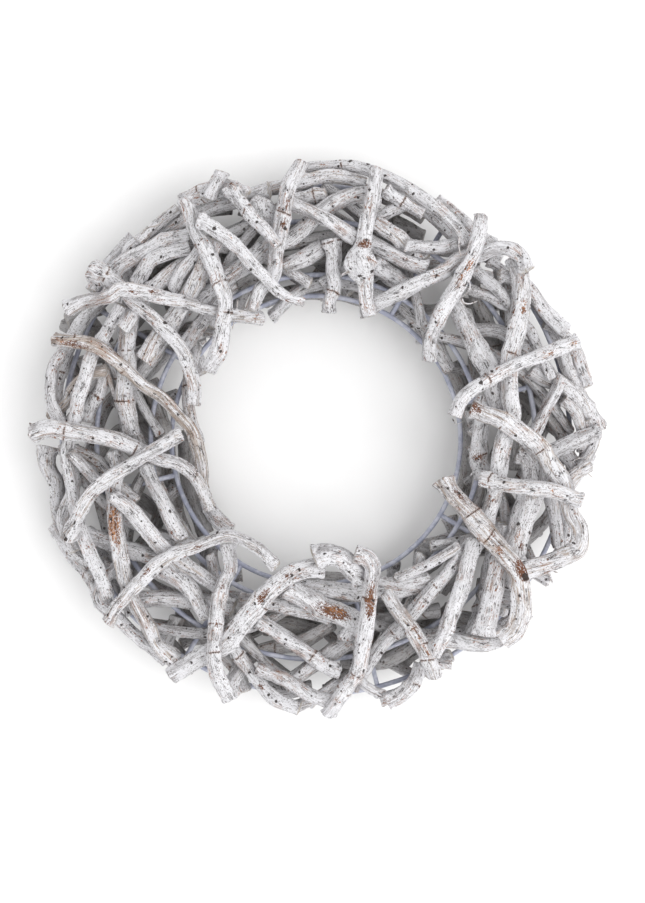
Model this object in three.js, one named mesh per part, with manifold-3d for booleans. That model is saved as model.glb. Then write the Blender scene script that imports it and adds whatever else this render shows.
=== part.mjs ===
/**
 * Wicker wreath: whitewashed vine and willow stems laid criss-cross over a painted wire frame.
 *
 * Millimetres. +Z runs up through the middle of the hole, the wreath lies on its back on z = 0,
 * and +Y points to the wreath's top edge. Every stem has a route in plan, drawn by hand, and is
 * laid on what is already there: its height is found from the stems and wires that it crosses.
 */
import * as THREE from "three";
import { mergeVertices } from "three/addons/utils/BufferGeometryUtils.js";
import Module from "manifold-3d";

const wasm = await Module();
wasm.setup();

// Driving dimensions
const FRAME_HEIGHT = 37.4; // the inner and outer wire rings lie this far above the ground
const WIRE_RADIUS = 1.8;
const WIRE_RINGS = [
  { radius: 103, rise: 0 },
  { radius: 117, rise: 9 },
  { radius: 155, rise: 10 },
  { radius: 181, rise: 0 },
];
const WIRE_RUNGS = 8;
const WIRE_RUNG_TURN = 14; // degrees from +X to the first cross wire
const SECTORS = 8; // bunches on each side
const CORE_RADIUS = 144; // middle of the ring of stems
const CORE_SPREAD = 38; // the core stems run from this far inside it to this far outside
const CORE_THICKNESS = 7;
const CORE_SHARES = [0.04, 0.35, 0.65, 0.96]; // of the sector's angle, at the points of their routes
const VIEW_HEIGHT = 1300; // the front routes are drawn as they look from this far above z = 0
const PLAN_LEVEL = 60; // and are true to size at this height

// Stems of the hidden side: start is how far apart their even starts stray in degrees, turn how many
// degrees they run round the ring, inner and outer the radii that they run between
const BACK_FUSED = {
  count: 24, start: 8, turn: [22, 38], inner: [106, 118], outer: [168, 184], thickness: [7.5, 10.5],
};
const BACK_SEPARATE = {
  count: 8, start: 10, turn: [48, 62], inner: [107, 115], outer: [180, 190], thickness: [8.5, 11.5],
};
const BACK_STEPS = 5; // stretches of a route
const BACK_DRIFT = 1.2; // over 1, a stem drifts outwards late
const BACK_WAVER = 2.5; // to either side of an even drift
const BACK_TAPER = 1.5; // from the first end to the last
const BACK_SEED = 1;

// How stems lie on each other
const CLEARANCE = 0.35; // between separate stems
const SINK = 2.4; // a stem of a bunch beds this deep into the stem it lies on
const BEND_RADIUS = 130; // the tightest that a stem bends up or down
const LOWEST = 4; // the least height of a centreline above or below the frame's plane
const LAYING_PASSES = 3; // a front stem's route moves in plan as its height is found
const RAISING_ROUNDS = 40;

// How finely the solids are made
const SIDES = 6;
const CORE_SIDES = 5;
const STATION_STEP = 18;
const CLOSEST_STATIONS = 3;
const KNOB_STATIONS = [-0.6, 0, 0.6]; // knob diameters from its middle
const KNOB_REACH = 0.55; // knob diameters along the stem over which it fades
const SAMPLE_STEP = 2;
const WIRE_SIDES = 4;
const WIRE_STEPS = 32;
const GROUND_SIZE = 500; // wider than the wreath

const BARK = { color: 0xb9b4ae, roughness: 0.9, metalness: 0 };
const SHADED_BARK = { color: 0xa39d96, roughness: 0.92, metalness: 0 };
const WIRE_PAINT = { color: 0x7f8fa3, roughness: 0.55, metalness: 0.2 };

/**
 * Front stems in the order in which they are laid. thick is the diameter from the first end to the
 * last, at even steps, path the route in plan, knobs are [share of the length, diameter], and
 * bunch is the sector whose bunch the stem is fused to. A stem without a bunch is a piece of its own.
 * bed is how much closer a stem lies whose flat faces, not its ridges, meet what it lies on.
 */
const FRONT_STEMS = [
  { name: "ae", bunch: 6, thick: [12.5, 12.5],
    path: [[-17, -103], [9, -106], [33, -107], [46, -103], [60, -103], [80, -97]] },
  { name: "aj", bunch: 6, thick: [10, 10],
    path: [[25, -174], [32, -164], [47, -143], [59, -131], [68, -122], [83, -104], [100, -81],
      [106, -72]] },
  { name: "af", bunch: 6, thick: [7, 7],
    path: [[55, -98], [78, -88], [101, -74]] },
  { name: "ak", bunch: 6, thick: [7.5, 7.5],
    path: [[29, -167], [38, -174], [48, -179]] },
  { name: "ad", bunch: 5, thick: [8.5, 8.5],
    path: [[-17, -188], [5, -178], [17, -170]] },
  { name: "ac", bunch: 5, thick: [9, 9],
    path: [[-64, -130], [-59, -142], [-50, -157], [-41, -169], [-29, -181], [-11, -188]] },
  { name: "ea", bunch: 5, thick: [12, 12],
    path: [[-128, -112], [-100, -111], [-72, -115], [-57, -118]] },
  { name: "al", bunch: 6, thick: [10.5, 10.5],
    path: [[74, -157], [68, -171], [60, -178], [49, -183]] },
  { name: "ef", bunch: 5, thick: [11, 11],
    path: [[25, -140], [0, -156], [-22, -173]] },
  { name: "ed", bunch: 7, thick: [13, 14],
    path: [[134, -58], [128, -72], [124, -90], [121, -106], [115, -126], [108, -140]] },
  { name: "am", bunch: 7, thick: [11, 11],
    path: [[87, -139], [99, -141], [112, -143], [121, -142], [129, -139]] },
  { name: "bm", bunch: 0, thick: [13, 13],
    path: [[150, 50], [162, 44], [173, 38], [183, 30], [190, 19], [197, 7]] },
  { name: "bn", bunch: 0, thick: [8.5, 8.5],
    path: [[160, 83], [172, 74], [182, 62], [186, 50], [190, 37]] },
  { name: "bo", bunch: 0, thick: [9, 9],
    path: [[172, 45], [168, 33], [163, 24], [157, 14], [153, 7], [150, -3]] },
  { name: "bp", bunch: 0, thick: [8, 8],
    path: [[173, 29], [181, 20], [186, 6], [187, -8]] },
  { name: "eg", bunch: 7, thick: [12, 12],
    path: [[119, 30], [115, 8], [113, -12], [118, -26]] },
  { name: "bq", bunch: 0, thick: [11, 11],
    path: [[162, -10], [176, -3], [199, 6]] },
  { name: "ar", bunch: 7, thick: [9, 9],
    path: [[157, -16], [161, -29], [164, -41], [167, -54], [169, -74]] },
  { name: "as", bunch: 7, thick: [17, 18, 16],
    path: [[141, -7], [150, -15], [150, -42], [146, -54], [141, -70], [139, -82]] },
  { name: "br", bunch: 7, thick: [8, 8],
    path: [[150, -37], [162, -33], [174, -29], [184, -22], [192, -18]] },
  { name: "bg", bed: 1.4, thick: [14, 14],
    path: [[93, 99], [99, 91], [107, 76], [116, 59], [123, 48], [127, 31], [132, 20]] },
  { name: "bh", bunch: 0, thick: [8, 8],
    path: [[106, 106], [119, 101], [135, 93]] },
  { name: "bi", bunch: 0, thick: [8, 8],
    path: [[110, 120], [120, 112], [129, 104], [137, 94]] },
  { name: "bj", bunch: 0, thick: [7, 7],
    path: [[121, 126], [131, 118], [136, 105]] },
  { name: "bk", bunch: 0, thick: [10.5, 10.5],
    path: [[127, 115], [139, 112], [148, 106], [162, 88], [176, 75]] },
  { name: "bl", bunch: 0, thick: [7, 7],
    path: [[142, 88], [150, 76], [155, 65], [160, 54], [165, 42]] },
  { name: "bd", bunch: 1, thick: [8.5, 8.5],
    path: [[38, 151], [52, 160], [65, 165], [73, 163], [83, 155], [95, 143], [104, 134]] },
  { name: "be", bunch: 1, thick: [11, 11],
    path: [[41, 152], [55, 143], [66, 134], [78, 126]] },
  { name: "bf", bunch: 1, thick: [11, 11],
    path: [[35, 140], [48, 133], [62, 126], [78, 120]] },
  { name: "ee", bunch: 1, thick: [9, 9],
    path: [[62, 136], [87, 135], [111, 140]] },
  { name: "bc", bed: 0.5, thick: [8, 8],
    path: [[-8, 191], [10, 192], [26, 192], [38, 189], [55, 182], [73, 171], [87, 161], [99, 148],
      [106, 138]] },
  { name: "cc", bunch: 2, thick: [9, 9],
    path: [[-50, 162], [-41, 173], [-29, 177], [-14, 179], [-2, 183], [10, 185], [22, 183],
      [34, 179]] },
  { name: "ba", bunch: 2, thick: [10.5, 10.5],
    path: [[-15, 168], [-3, 171], [8, 172]] },
  { name: "cl", thick: [11, 11],
    path: [[-81, 98], [-71, 107], [-62, 115], [-50, 122], [-38, 133], [-29, 138], [-18, 141],
      [-6, 149], [3, 158], [18, 168], [30, 172], [46, 170]] },
  { name: "cm", bunch: 2, thick: [11.5, 11.5],
    path: [[-24, 121], [-10, 127], [5, 135]] },
  { name: "cd", bunch: 2, thick: [10, 18, 9],
    path: [[-44, 168], [-36, 160], [-28, 152]] },
  { name: "ch", bunch: 3, thick: [8, 8, 11],
    path: [[-124, 110], [-130, 121], [-131, 132], [-125, 139], [-115, 146], [-105, 153], [-95, 159],
      [-85, 167], [-73, 174], [-59, 177]] },
  { name: "cf", bunch: 3, thick: [12.5, 12.5],
    path: [[-144, 115], [-132, 125], [-116, 133], [-102, 140], [-88, 142]] },
  { name: "cg", bunch: 3, thick: [10.5, 10.5],
    path: [[-88, 134], [-107, 129], [-116, 125], [-122, 116], [-126, 108]] },
  { name: "cj", bunch: 3, thick: [10.5, 10.5],
    path: [[-78, 136], [-85, 127], [-94, 117], [-101, 105]] },
  { name: "q", bunch: 3, thick: [13, 12.5],
    path: [[-129, 90], [-132, 68], [-132, 46], [-134, 31], [-132, 16], [-129, 3]] },
  { name: "ck", bed: 1, thick: [11, 11],
    path: [[-69, 140], [-78, 123], [-86, 106], [-97, 89], [-107, 77], [-115, 66], [-121, 55]] },
  { name: "s", bunch: 3, thick: [9, 9],
    path: [[-148, 52], [-150, 38], [-157, 24], [-162, 13]] },
  { name: "twig", bunch: 3, thick: [3.5, 3.5],
    path: [[-148, 52], [-141, 31]] },
  { name: "grey", bunch: 3, thick: [8, 8],
    path: [[-187, 15], [-174, 28], [-169, 38], [-159, 46], [-146, 49]] },
  { name: "u", bunch: 3, thick: [9, 9],
    path: [[-176, 63], [-183, 53], [-185, 41], [-185, 27], [-182, 19], [-177, 9]] },
  { name: "v", bunch: 4, thick: [12.5, 8],
    path: [[-188, -4], [-188, -17], [-182, -31], [-181, -48], [-179, -60], [-173, -74]] },
  { name: "rim", bunch: 4, thick: [9, 9],
    path: [[-184, -59], [-175, -73], [-165, -81], [-150, -88], [-130, -96]] },
  { name: "eb", bunch: 4, thick: [11, 11],
    path: [[-162, -65], [-144, -72], [-118, -81], [-99, -86]] },
  { name: "ec", bunch: 4, thick: [10, 10],
    path: [[-172, -5], [-152, -16], [-138, -32], [-126, -44]] },
  { name: "m2", bunch: 4, thick: [8.5, 8.5],
    path: [[-136, -86], [-148, -98], [-152, -112], [-136, -127], [-122, -140], [-104, -154]] },
  { name: "rl", thick: [9, 9],
    path: [[-136, 95], [-143, 82], [-149, 71], [-157, 59], [-162, 42], [-167, 27], [-169, 14],
      [-174, -4], [-174, -17], [-171, -32], [-169, -45], [-165, -63], [-158, -80], [-151, -95],
      [-145, -111]] },
  { name: "j", thick: [11, 11],
    path: [[-141, -7], [-139, -21], [-142, -33], [-141, -44], [-141, -61], [-137, -80], [-133, -99],
      [-127, -114], [-118, -129], [-111, -143], [-99, -154]] },
  { name: "n", thick: [10.5, 10.5],
    path: [[-144, -38], [-131, -47], [-119, -61], [-109, -73], [-94, -85], [-81, -94],
      [-68, -104]] },
  { name: "p", bunch: 4, thick: [10, 10],
    path: [[-120, -18], [-113, -32], [-106, -46], [-99, -62], [-94, -71]] },
  { name: "at", thick: [11.5, 9],
    path: [[139, 128], [144, 113], [143, 94], [139, 73], [136, 58], [136, 31], [138, 17], [133, 4],
      [129, -11], [127, -28], [123, -45], [118, -59]] },
  { name: "ah", thick: [10.5, 10.5],
    path: [[81, -150], [91, -134], [97, -117], [103, -100], [108, -81], [113, -70]] },
  { name: "ax", bed: 0.9, thick: [11.5, 8.5],
    path: [[10, 141], [13, 129], [12, 118], [13, 107], [9, 96], [9, 89]] },
  { name: "ay", bed: 0.4, thick: [10, 10],
    path: [[-22, 168], [-16, 165], [-2, 159], [14, 150], [28, 141]] },
  { name: "ke", thick: [9.5, 9.5], knobs: [[0.03, 15]],
    path: [[-157, 119], [-146, 113], [-136, 106], [-127, 96], [-115, 87], [-104, 75], [-94, 63],
      [-88, 48], [-85, 36], [-86, 24]] },
  { name: "d", thick: [10.5, 8],
    path: [[-176, 91], [-160, 97], [-145, 100], [-136, 105], [-122, 104], [-111, 101], [-96, 97],
      [-80, 92], [-65, 89], [-37, 85]] },
  { name: "c", thick: [10.5, 10.5],
    path: [[-92, 169], [-89, 160], [-85, 147], [-78, 134], [-72, 121], [-68, 110], [-64, 98],
      [-64, 90], [-66, 78], [-68, 63], [-76, 47]] },
  { name: "f", thick: [9, 9],
    path: [[-184, 71], [-169, 69], [-153, 65], [-142, 57], [-131, 48], [-120, 38], [-109, 31],
      [-96, 18], [-87, 7], [-81, -13], [-80, -30], [-78, -39]] },
  { name: "g", thick: [13, 10.5, 8.5],
    path: [[-199, 4], [-188, 8], [-169, 6], [-153, 3], [-139, -1], [-127, -6], [-109, -14],
      [-96, -17], [-85, -26], [-78, -39], [-74, -50]] },
  { name: "h", thick: [9, 9], knobs: [[0.04, 12]],
    path: [[-174, -70], [-169, -59], [-158, -39], [-145, -27], [-130, -18], [-115, -8], [-104, -1],
      [-94, 5]] },
  { name: "aa", thick: [13, 13],
    path: [[-21, -103], [-8, -110], [5, -118], [17, -122], [26, -129], [24, -140]] },
  { name: "ab", thick: [10.5, 10.5],
    path: [[-41, -126], [-25, -137], [-8, -148], [5, -157], [17, -163]] },
  { name: "w", bed: 1.2, thick: [12, 12],
    path: [[-102, -166], [-90, -158], [-78, -150], [-64, -143], [-55, -131], [-44, -118],
      [-33, -106], [-19, -95], [-6, -90], [6, -89]] },
  { name: "o", thick: [10, 10],
    path: [[-62, -73], [-60, -91], [-64, -99], [-68, -111], [-70, -129], [-71, -145], [-71, -156],
      [-68, -167], [-59, -182]] },
  { name: "y", bed: 1.3, thick: [12.5, 12.5], knobs: [[0.06, 14]],
    path: [[-2, -83], [10, -81], [20, -85], [29, -94], [34, -98]] },
  { name: "x", bed: 0.8, thick: [11.5, 9.5],
    path: [[27, -80], [35, -83], [39, -89], [39, -99], [38, -112], [36, -129], [33, -146],
      [29, -162], [22, -172], [15, -183], [8, -193]] },
  { name: "i", thick: [9, 9],
    path: [[-146, -129], [-140, -118], [-131, -108], [-120, -97], [-111, -87], [-99, -80],
      [-85, -75], [-74, -70], [-62, -67], [-52, -70], [-37, -79], [-27, -89]] },
  { name: "ai", bed: 1, thick: [10.5, 10.5],
    path: [[49, -107], [56, -118], [66, -132], [74, -145], [80, -157], [83, -167]] },
  { name: "aq", thick: [10.5, 10.5],
    path: [[108, 22], [120, 17], [131, 13], [146, 3], [158, -6], [165, -18], [174, -30], [178, -49],
      [185, -64], [183, -76], [171, -82], [157, -88], [144, -93]] },
  { name: "ao", thick: [9, 9],
    path: [[115, -27], [126, -30], [150, -34], [166, -36], [187, -43]] },
  { name: "ap", bed: 0.6, thick: [9, 9],
    path: [[97, 16], [104, 29], [120, 41], [135, 50], [154, 58], [169, 64], [183, 69]] },
  { name: "an", bed: 1, thick: [12, 12.5, 12],
    path: [[89, -27], [96, -37], [109, -52], [120, -66], [132, -80], [141, -93], [143, -106],
      [143, -119], [138, -133], [129, -140]] },
  { name: "av", thick: [10, 10],
    path: [[39, 94], [59, 103], [75, 111], [91, 119], [99, 126], [115, 129], [123, 133], [135, 134],
      [144, 129], [148, 118]] },
  { name: "au", thick: [10, 10],
    path: [[115, 158], [114, 146], [110, 132], [104, 119], [99, 108], [91, 95], [85, 83], [80, 69],
      [80, 56]] },
  { name: "aw", thick: [9, 9], knobs: [[0.65, 17]],
    path: [[42, 190], [41, 178], [38, 162], [35, 146], [34, 138], [31, 123], [34, 110], [35, 97],
      [37, 86]] },
  { name: "a", thick: [10, 12, 7.5],
    path: [[-10, 195], [-14, 187], [-20, 174], [-23, 157], [-28, 133], [-31, 113], [-39, 105],
      [-45, 90]] },
  { name: "b", thick: [10, 6.5], knobs: [[0.16, 10]],
    path: [[-83, 155], [-71, 148], [-59, 139], [-48, 127], [-36, 115], [-27, 105], [-17, 99],
      [-8, 97]] },
  { name: "cb", thick: [10.5, 7], knobs: [[0.05, 12]],
    path: [[-59, 178], [-53, 167], [-45, 156], [-34, 145], [-26, 135]] },
];

/** A polar point in plan, angle in degrees from +X. */
function polar(angle, radius) {
  return [radius * Math.cos(angle * Math.PI / 180), radius * Math.sin(angle * Math.PI / 180)];
}

/** The same numbers between 0 and 1 on every run, by a linear congruential sequence. */
function seededDraw(seed) {
  const multiplier = 1664525;
  const increment = 1013904223;
  const modulus = 2 ** 32;
  let state = seed;
  return () => {
    state = (state * multiplier + increment) % modulus;
    return state / modulus;
  };
}

/** The next drawn number, between a least and a most. */
function drawBetween([least, most], draw) {
  return least + (most - least) * draw();
}

/** Two stems crossed like an X in each sector, from rim to rim, on which its bunch is built. */
function coreStems(side) {
  const span = 360 / SECTORS;
  const stems = [];
  for (let sector = 0; sector < SECTORS; sector += 1) {
    for (const lean of [1, -1]) {
      const path = CORE_SHARES.map((share) =>
        polar((sector + share) * span, CORE_RADIUS + lean * CORE_SPREAD * (2 * share - 1)));
      const thick = [CORE_THICKNESS, CORE_THICKNESS];
      stems.push({ name: "core", bunch: sector, side, sides: CORE_SIDES, thick, path });
    }
  }
  return stems;
}

/** Stems of the hidden side: each runs from one rim of the ring to the other, leaning either way. */
function backStems() {
  const draw = seededDraw(BACK_SEED);
  const stems = [];
  for (const kind of [BACK_FUSED, BACK_SEPARATE]) {
    for (let k = 0; k < kind.count; k += 1) {
      const start = 360 * k / kind.count + kind.start * (draw() - 0.5);
      const turn = (k % 2 ? 1 : -1) * drawBetween(kind.turn, draw);
      const inner = drawBetween(kind.inner, draw);
      const outer = drawBetween(kind.outer, draw);
      const thickness = drawBetween(kind.thickness, draw);
      const bunch = kind === BACK_FUSED ? sectorAt(start + turn / 2) : undefined;
      stems.push(backStem({ start, turn, inner, outer, thickness, bunch }));
    }
  }
  return stems;
}

/** The sector that an angle in degrees lies in. */
function sectorAt(angle) {
  const positive = ((angle % 360) + 360) % 360;
  return Math.floor(positive / (360 / SECTORS));
}

/** A stem that starts at the inner rim and drifts out to the outer one as it turns. */
function backStem({ start, turn, inner, outer, thickness, bunch }) {
  const path = Array.from({ length: BACK_STEPS + 1 }, (_, k) => {
    const share = k / BACK_STEPS;
    const waver = k % 2 ? BACK_WAVER : -BACK_WAVER;
    return polar(start + turn * share, inner + (outer - inner) * share ** BACK_DRIFT + waver);
  });
  return { name: "back", side: -1, bunch, thick: [thickness, thickness - BACK_TAPER], path };
}

/** The diameter of a stem at a share of its length, with its knobs. */
function thicknessAt(stem, share, length) {
  const place = share * (stem.thick.length - 1);
  const k = Math.min(Math.floor(place), stem.thick.length - 2);
  let diameter = stem.thick[k] + (stem.thick[k + 1] - stem.thick[k]) * (place - k);
  for (const [knobShare, knobDiameter] of stem.knobs ?? []) {
    const away = (share - knobShare) * length / (KNOB_REACH * knobDiameter);
    diameter += (knobDiameter - diameter) * Math.exp(-away * away);
  }
  return diameter;
}

/** Shares of the length at which a stem has a ring of corners: even steps, and round each knob. */
function stationShares(stem, length) {
  const steps = Math.max(2, Math.round(length / STATION_STEP));
  const shares = Array.from({ length: steps + 1 }, (_, k) => k / steps);
  for (const [knobShare, knobDiameter] of stem.knobs ?? []) {
    for (const offset of KNOB_STATIONS) {
      shares.push(knobShare + offset * knobDiameter / length);
    }
  }
  const kept = [];
  for (const share of shares.filter((value) => value >= 0 && value <= 1).sort((a, b) => a - b)) {
    if (kept.length === 0 || (share - kept.at(-1)) * length > CLOSEST_STATIONS) kept.push(share);
  }
  kept[kept.length - 1] = 1;
  return kept;
}

/**
 * Points every SAMPLE_STEP along the straight stretches between stations. Each has its height, its
 * radius, and the two stations and the weight that it lies between.
 */
function samplesOf(points, radii) {
  const samples = [];
  for (let k = 0; k + 1 < points.length; k += 1) {
    const steps = Math.max(1, Math.ceil(points[k].distanceTo(points[k + 1]) / SAMPLE_STEP));
    for (let j = k === 0 ? 0 : 1; j <= steps; j += 1) {
      const weight = j / steps;
      const place = points[k].clone().lerp(points[k + 1], weight);
      samples.push({ x: place.x, y: place.y, z: place.z, k, weight,
        radius: radii[k] + (radii[k + 1] - radii[k]) * weight });
    }
  }
  return samples;
}

/**
 * The least height above the frame's plane, on the stem's own side, at which a sample clears all
 * that lies there: over an obstacle at plan distance d it is h + sqrt((r1 + r2 + gap)^2 - d^2).
 */
function neededHeight(sample, stem, obstacles) {
  let height = LOWEST;
  for (const other of obstacles) {
    const dx = sample.x - other.x;
    const dy = sample.y - other.y;
    const sameBunch = stem.bunch !== undefined && other.bunch === stem.bunch && other.side === stem.side;
    const reach = sample.radius + other.radius + (sameBunch ? -SINK : CLEARANCE) - (stem.bed ?? 0);
    const room = reach * reach - dx * dx - dy * dy;
    if (room > 0) height = Math.max(height, stem.side * (other.z - FRAME_HEIGHT) + Math.sqrt(room));
  }
  return height;
}

/**
 * Lays one stem: finds the heights of its stations so that it rests on what it crosses, bends no
 * tighter than BEND_RADIUS, and keeps clear of everything between the stations too.
 */
function layStem(stem, obstacles) {
  const flat = new THREE.CatmullRomCurve3(stem.path.map(([x, y]) => new THREE.Vector3(x, y, 0)));
  const length = flat.getLength();
  const shares = stationShares(stem, length);
  const radii = shares.map((share) => thicknessAt(stem, share, length) / 2);
  const seen = shares.map((share) => flat.getPointAt(share));
  let heights = shares.map(() => PLAN_LEVEL - FRAME_HEIGHT);
  let points = [];
  for (let pass = 0; pass < LAYING_PASSES; pass += 1) {
    points = seen.map((point, k) => {
      const z = FRAME_HEIGHT + stem.side * heights[k];
      const shrink = stem.side > 0 ? (VIEW_HEIGHT - z) / (VIEW_HEIGHT - PLAN_LEVEL) : 1;
      return new THREE.Vector3(point.x * shrink, point.y * shrink, z);
    });
    const samples = samplesOf(points, radii);
    const needs = samples.map((sample) => neededHeight(sample, stem, obstacles));
    heights = restingHeights(shares, length, samples, needs);
    points.forEach((point, k) => { point.z = FRAME_HEIGHT + stem.side * heights[k]; });
  }
  const { bunch, side } = stem;
  const samples = samplesOf(points, radii).map((sample) => ({ ...sample, bunch, side }));
  return { ...stem, points, radii, samples };
}

/** Heights of the stations: the bend-limited cover over the needed heights, then raised where short. */
function restingHeights(shares, length, samples, needs) {
  const along = samples.map(({ k, weight }) =>
    length * (shares[k] + (shares[k + 1] - shares[k]) * weight));
  const heights = shares.map((share) => {
    const place = share * length;
    return Math.max(...needs.map((need, j) => need - (along[j] - place) ** 2 / (2 * BEND_RADIUS)));
  });
  for (let round = 0; round < RAISING_ROUNDS; round += 1) {
    samples.forEach(({ k, weight }, j) => {
      const short = needs[j] - heights[k] * (1 - weight) - heights[k + 1] * weight;
      if (short <= 0) return;
      const both = (1 - weight) ** 2 + weight ** 2;
      heights[k] += short * (1 - weight) / both;
      heights[k + 1] += short * weight / both;
    });
  }
  const spare = Math.min(...samples.map(({ k, weight }, j) =>
    heights[k] * (1 - weight) + heights[k + 1] * weight - needs[j]));
  return heights.map((height) => height - spare);
}

/**
 * A closed tube through the stations, with a point at the middle of each end. The first corner of
 * every ring faces away from the frame, so that stems which cross meet ridge to ridge.
 */
function tubeGeometry(points, radii, sides, closed = false) {
  const count = points.length;
  const positions = [];
  for (let k = 0; k < count; k += 1) {
    const before = closed ? points[(k + count - 1) % count] : points[Math.max(k - 1, 0)];
    const after = closed ? points[(k + 1) % count] : points[Math.min(k + 1, count - 1)];
    const along = after.clone().sub(before).normalize();
    const across = new THREE.Vector3(0, 0, 1).cross(along).normalize();
    const up = along.clone().cross(across);
    for (let j = 0; j < sides; j += 1) {
      const turn = 2 * Math.PI * j / sides;
      const corner = points[k].clone()
        .addScaledVector(up, radii[k] * Math.cos(turn))
        .addScaledVector(across, radii[k] * Math.sin(turn));
      positions.push(corner.x, corner.y, corner.z);
    }
  }
  const index = [];
  const rings = closed ? count : count - 1;
  for (let k = 0; k < rings; k += 1) {
    for (let j = 0; j < sides; j += 1) {
      const a = k * sides + j;
      const b = k * sides + (j + 1) % sides;
      const c = ((k + 1) % count) * sides + (j + 1) % sides;
      const d = ((k + 1) % count) * sides + j;
      index.push(a, c, b, a, d, c);
    }
  }
  if (!closed) {
    const first = count * sides;
    positions.push(...points[0].toArray(), ...points[count - 1].toArray());
    for (let j = 0; j < sides; j += 1) {
      const next = (j + 1) % sides;
      index.push(first, j, next);
      index.push(first + 1, (count - 1) * sides + next, (count - 1) * sides + j);
    }
  }
  const geometry = new THREE.BufferGeometry();
  geometry.setAttribute("position", new THREE.Float32BufferAttribute(positions, 3));
  geometry.setIndex(index);
  return geometry;
}

/** A geometry as a solid that can be joined to others. */
function toSolid(geometry) {
  return new wasm.Manifold(new wasm.Mesh({
    numProp: 3,
    vertProperties: new Float32Array(geometry.attributes.position.array),
    triVerts: new Uint32Array(geometry.index.array),
  }));
}

/** A solid as a geometry. */
function toGeometry(solid) {
  const mesh = solid.getMesh();
  const geometry = new THREE.BufferGeometry();
  geometry.setAttribute("position", new THREE.Float32BufferAttribute(mesh.vertProperties, 3));
  geometry.setIndex(Array.from(mesh.triVerts));
  return geometry;
}

/** Geometries joined into one closed body. */
function joined(geometries) {
  return toGeometry(geometries.map(toSolid).reduce((whole, solid) => whole.add(solid)));
}

/** The geometry with whatever sags below the ground worn off flat, so that the wreath lies on it. */
function worn(geometry) {
  geometry.computeBoundingBox();
  if (geometry.boundingBox.min.z >= 0) return geometry;
  const ground = new THREE.BoxGeometry(GROUND_SIZE, GROUND_SIZE, GROUND_SIZE);
  ground.translate(0, 0, -GROUND_SIZE / 2);
  for (const name of ["normal", "uv"]) ground.deleteAttribute(name);
  return toGeometry(toSolid(geometry).subtract(toSolid(mergeVertices(ground))));
}

/** Centrelines of the wires: four rings, and cross wires bent over all of them. */
function wireRoutes() {
  const rings = WIRE_RINGS.map(({ radius, rise }) =>
    Array.from({ length: WIRE_STEPS }, (_, k) =>
      new THREE.Vector3(...polar(360 * k / WIRE_STEPS, radius), FRAME_HEIGHT + rise)));
  const rungs = Array.from({ length: WIRE_RUNGS }, (_, k) => {
    const angle = WIRE_RUNG_TURN + 360 * k / WIRE_RUNGS;
    return WIRE_RINGS.map(({ radius, rise }) =>
      new THREE.Vector3(...polar(angle, radius), FRAME_HEIGHT + rise - WIRE_RADIUS));
  });
  return { rings, rungs };
}

/** The wire frame's geometry, and its wires as obstacles for the stems. */
function wireFrame() {
  const { rings, rungs } = wireRoutes();
  const geometries = [
    ...rings.map((ring) => tubeGeometry(ring, ring.map(() => WIRE_RADIUS), WIRE_SIDES, true)),
    ...rungs.map((rung) => tubeGeometry(rung, rung.map(() => WIRE_RADIUS), WIRE_SIDES)),
  ];
  const loops = [...rings.map((ring) => [...ring, ring[0]]), ...rungs];
  const samples = loops.flatMap((points) => samplesOf(points, points.map(() => WIRE_RADIUS)));
  return { geometry: joined(geometries), samples };
}

/** A named mesh with a material of its own. */
function piece(name, geometry, look) {
  const mesh = new THREE.Mesh(geometry, new THREE.MeshStandardMaterial(look));
  mesh.name = name;
  return mesh;
}

/** All stems laid in order, from the frame outwards on both sides. */
function layAll(frameSamples) {
  const order = [
    ...coreStems(1), ...FRONT_STEMS.map((stem) => ({ ...stem, side: 1 })),
    ...coreStems(-1), ...backStems(),
  ];
  const obstacles = [...frameSamples];
  return order.map((stem) => {
    const laid = layStem(stem, obstacles);
    obstacles.push(...laid.samples);
    return laid;
  });
}

/** The bunches of one side: the laid stems of each sector joined into one body. */
function bunches(laid, side, label) {
  return Array.from({ length: SECTORS }, (_, sector) => {
    const members = laid.filter((stem) => stem.bunch === sector && stem.side === side);
    const tubes = members.map((stem) => tubeGeometry(stem.points, stem.radii, stem.sides ?? SIDES));
    return piece(`${label}_bunch_${sector + 1}`, worn(joined(tubes)), SHADED_BARK);
  });
}

/** The separate stems of one side, numbered in the order in which they were laid. */
function separateStems(laid, side, label) {
  const separate = laid.filter((stem) => stem.bunch === undefined && stem.side === side);
  return separate.map((stem, k) =>
    piece(`${label}_stem_${k + 1}`, worn(tubeGeometry(stem.points, stem.radii, SIDES)), BARK));
}

const frame = wireFrame();
const laidStems = layAll(frame.samples);

const wreath = new THREE.Group();
wreath.add(piece("wire_frame", frame.geometry, WIRE_PAINT));
wreath.add(...bunches(laidStems, 1, "front"), ...separateStems(laidStems, 1, "front"));
wreath.add(...bunches(laidStems, -1, "back"), ...separateStems(laidStems, -1, "back"));

// The origin is below the middle of the wreath's outline, which its stems make slightly uneven.
const outline = new THREE.Box3().setFromObject(wreath);
wreath.position.set(-(outline.min.x + outline.max.x) / 2, -(outline.min.y + outline.max.y) / 2, 0);

export default wreath;
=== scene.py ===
"""Whitewashed wicker wreath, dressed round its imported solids.

Every stem is laid again by the rule that laid the solid stems: it keeps its route in plan and finds
its height from what it crosses. A skin with bark relief is then wrapped round its centreline.
Millimetres are used until a mesh is put in; the finished objects are in metres.
"""
import logging
import math
from dataclasses import dataclass, field
from enum import Enum
from typing import Any

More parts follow.
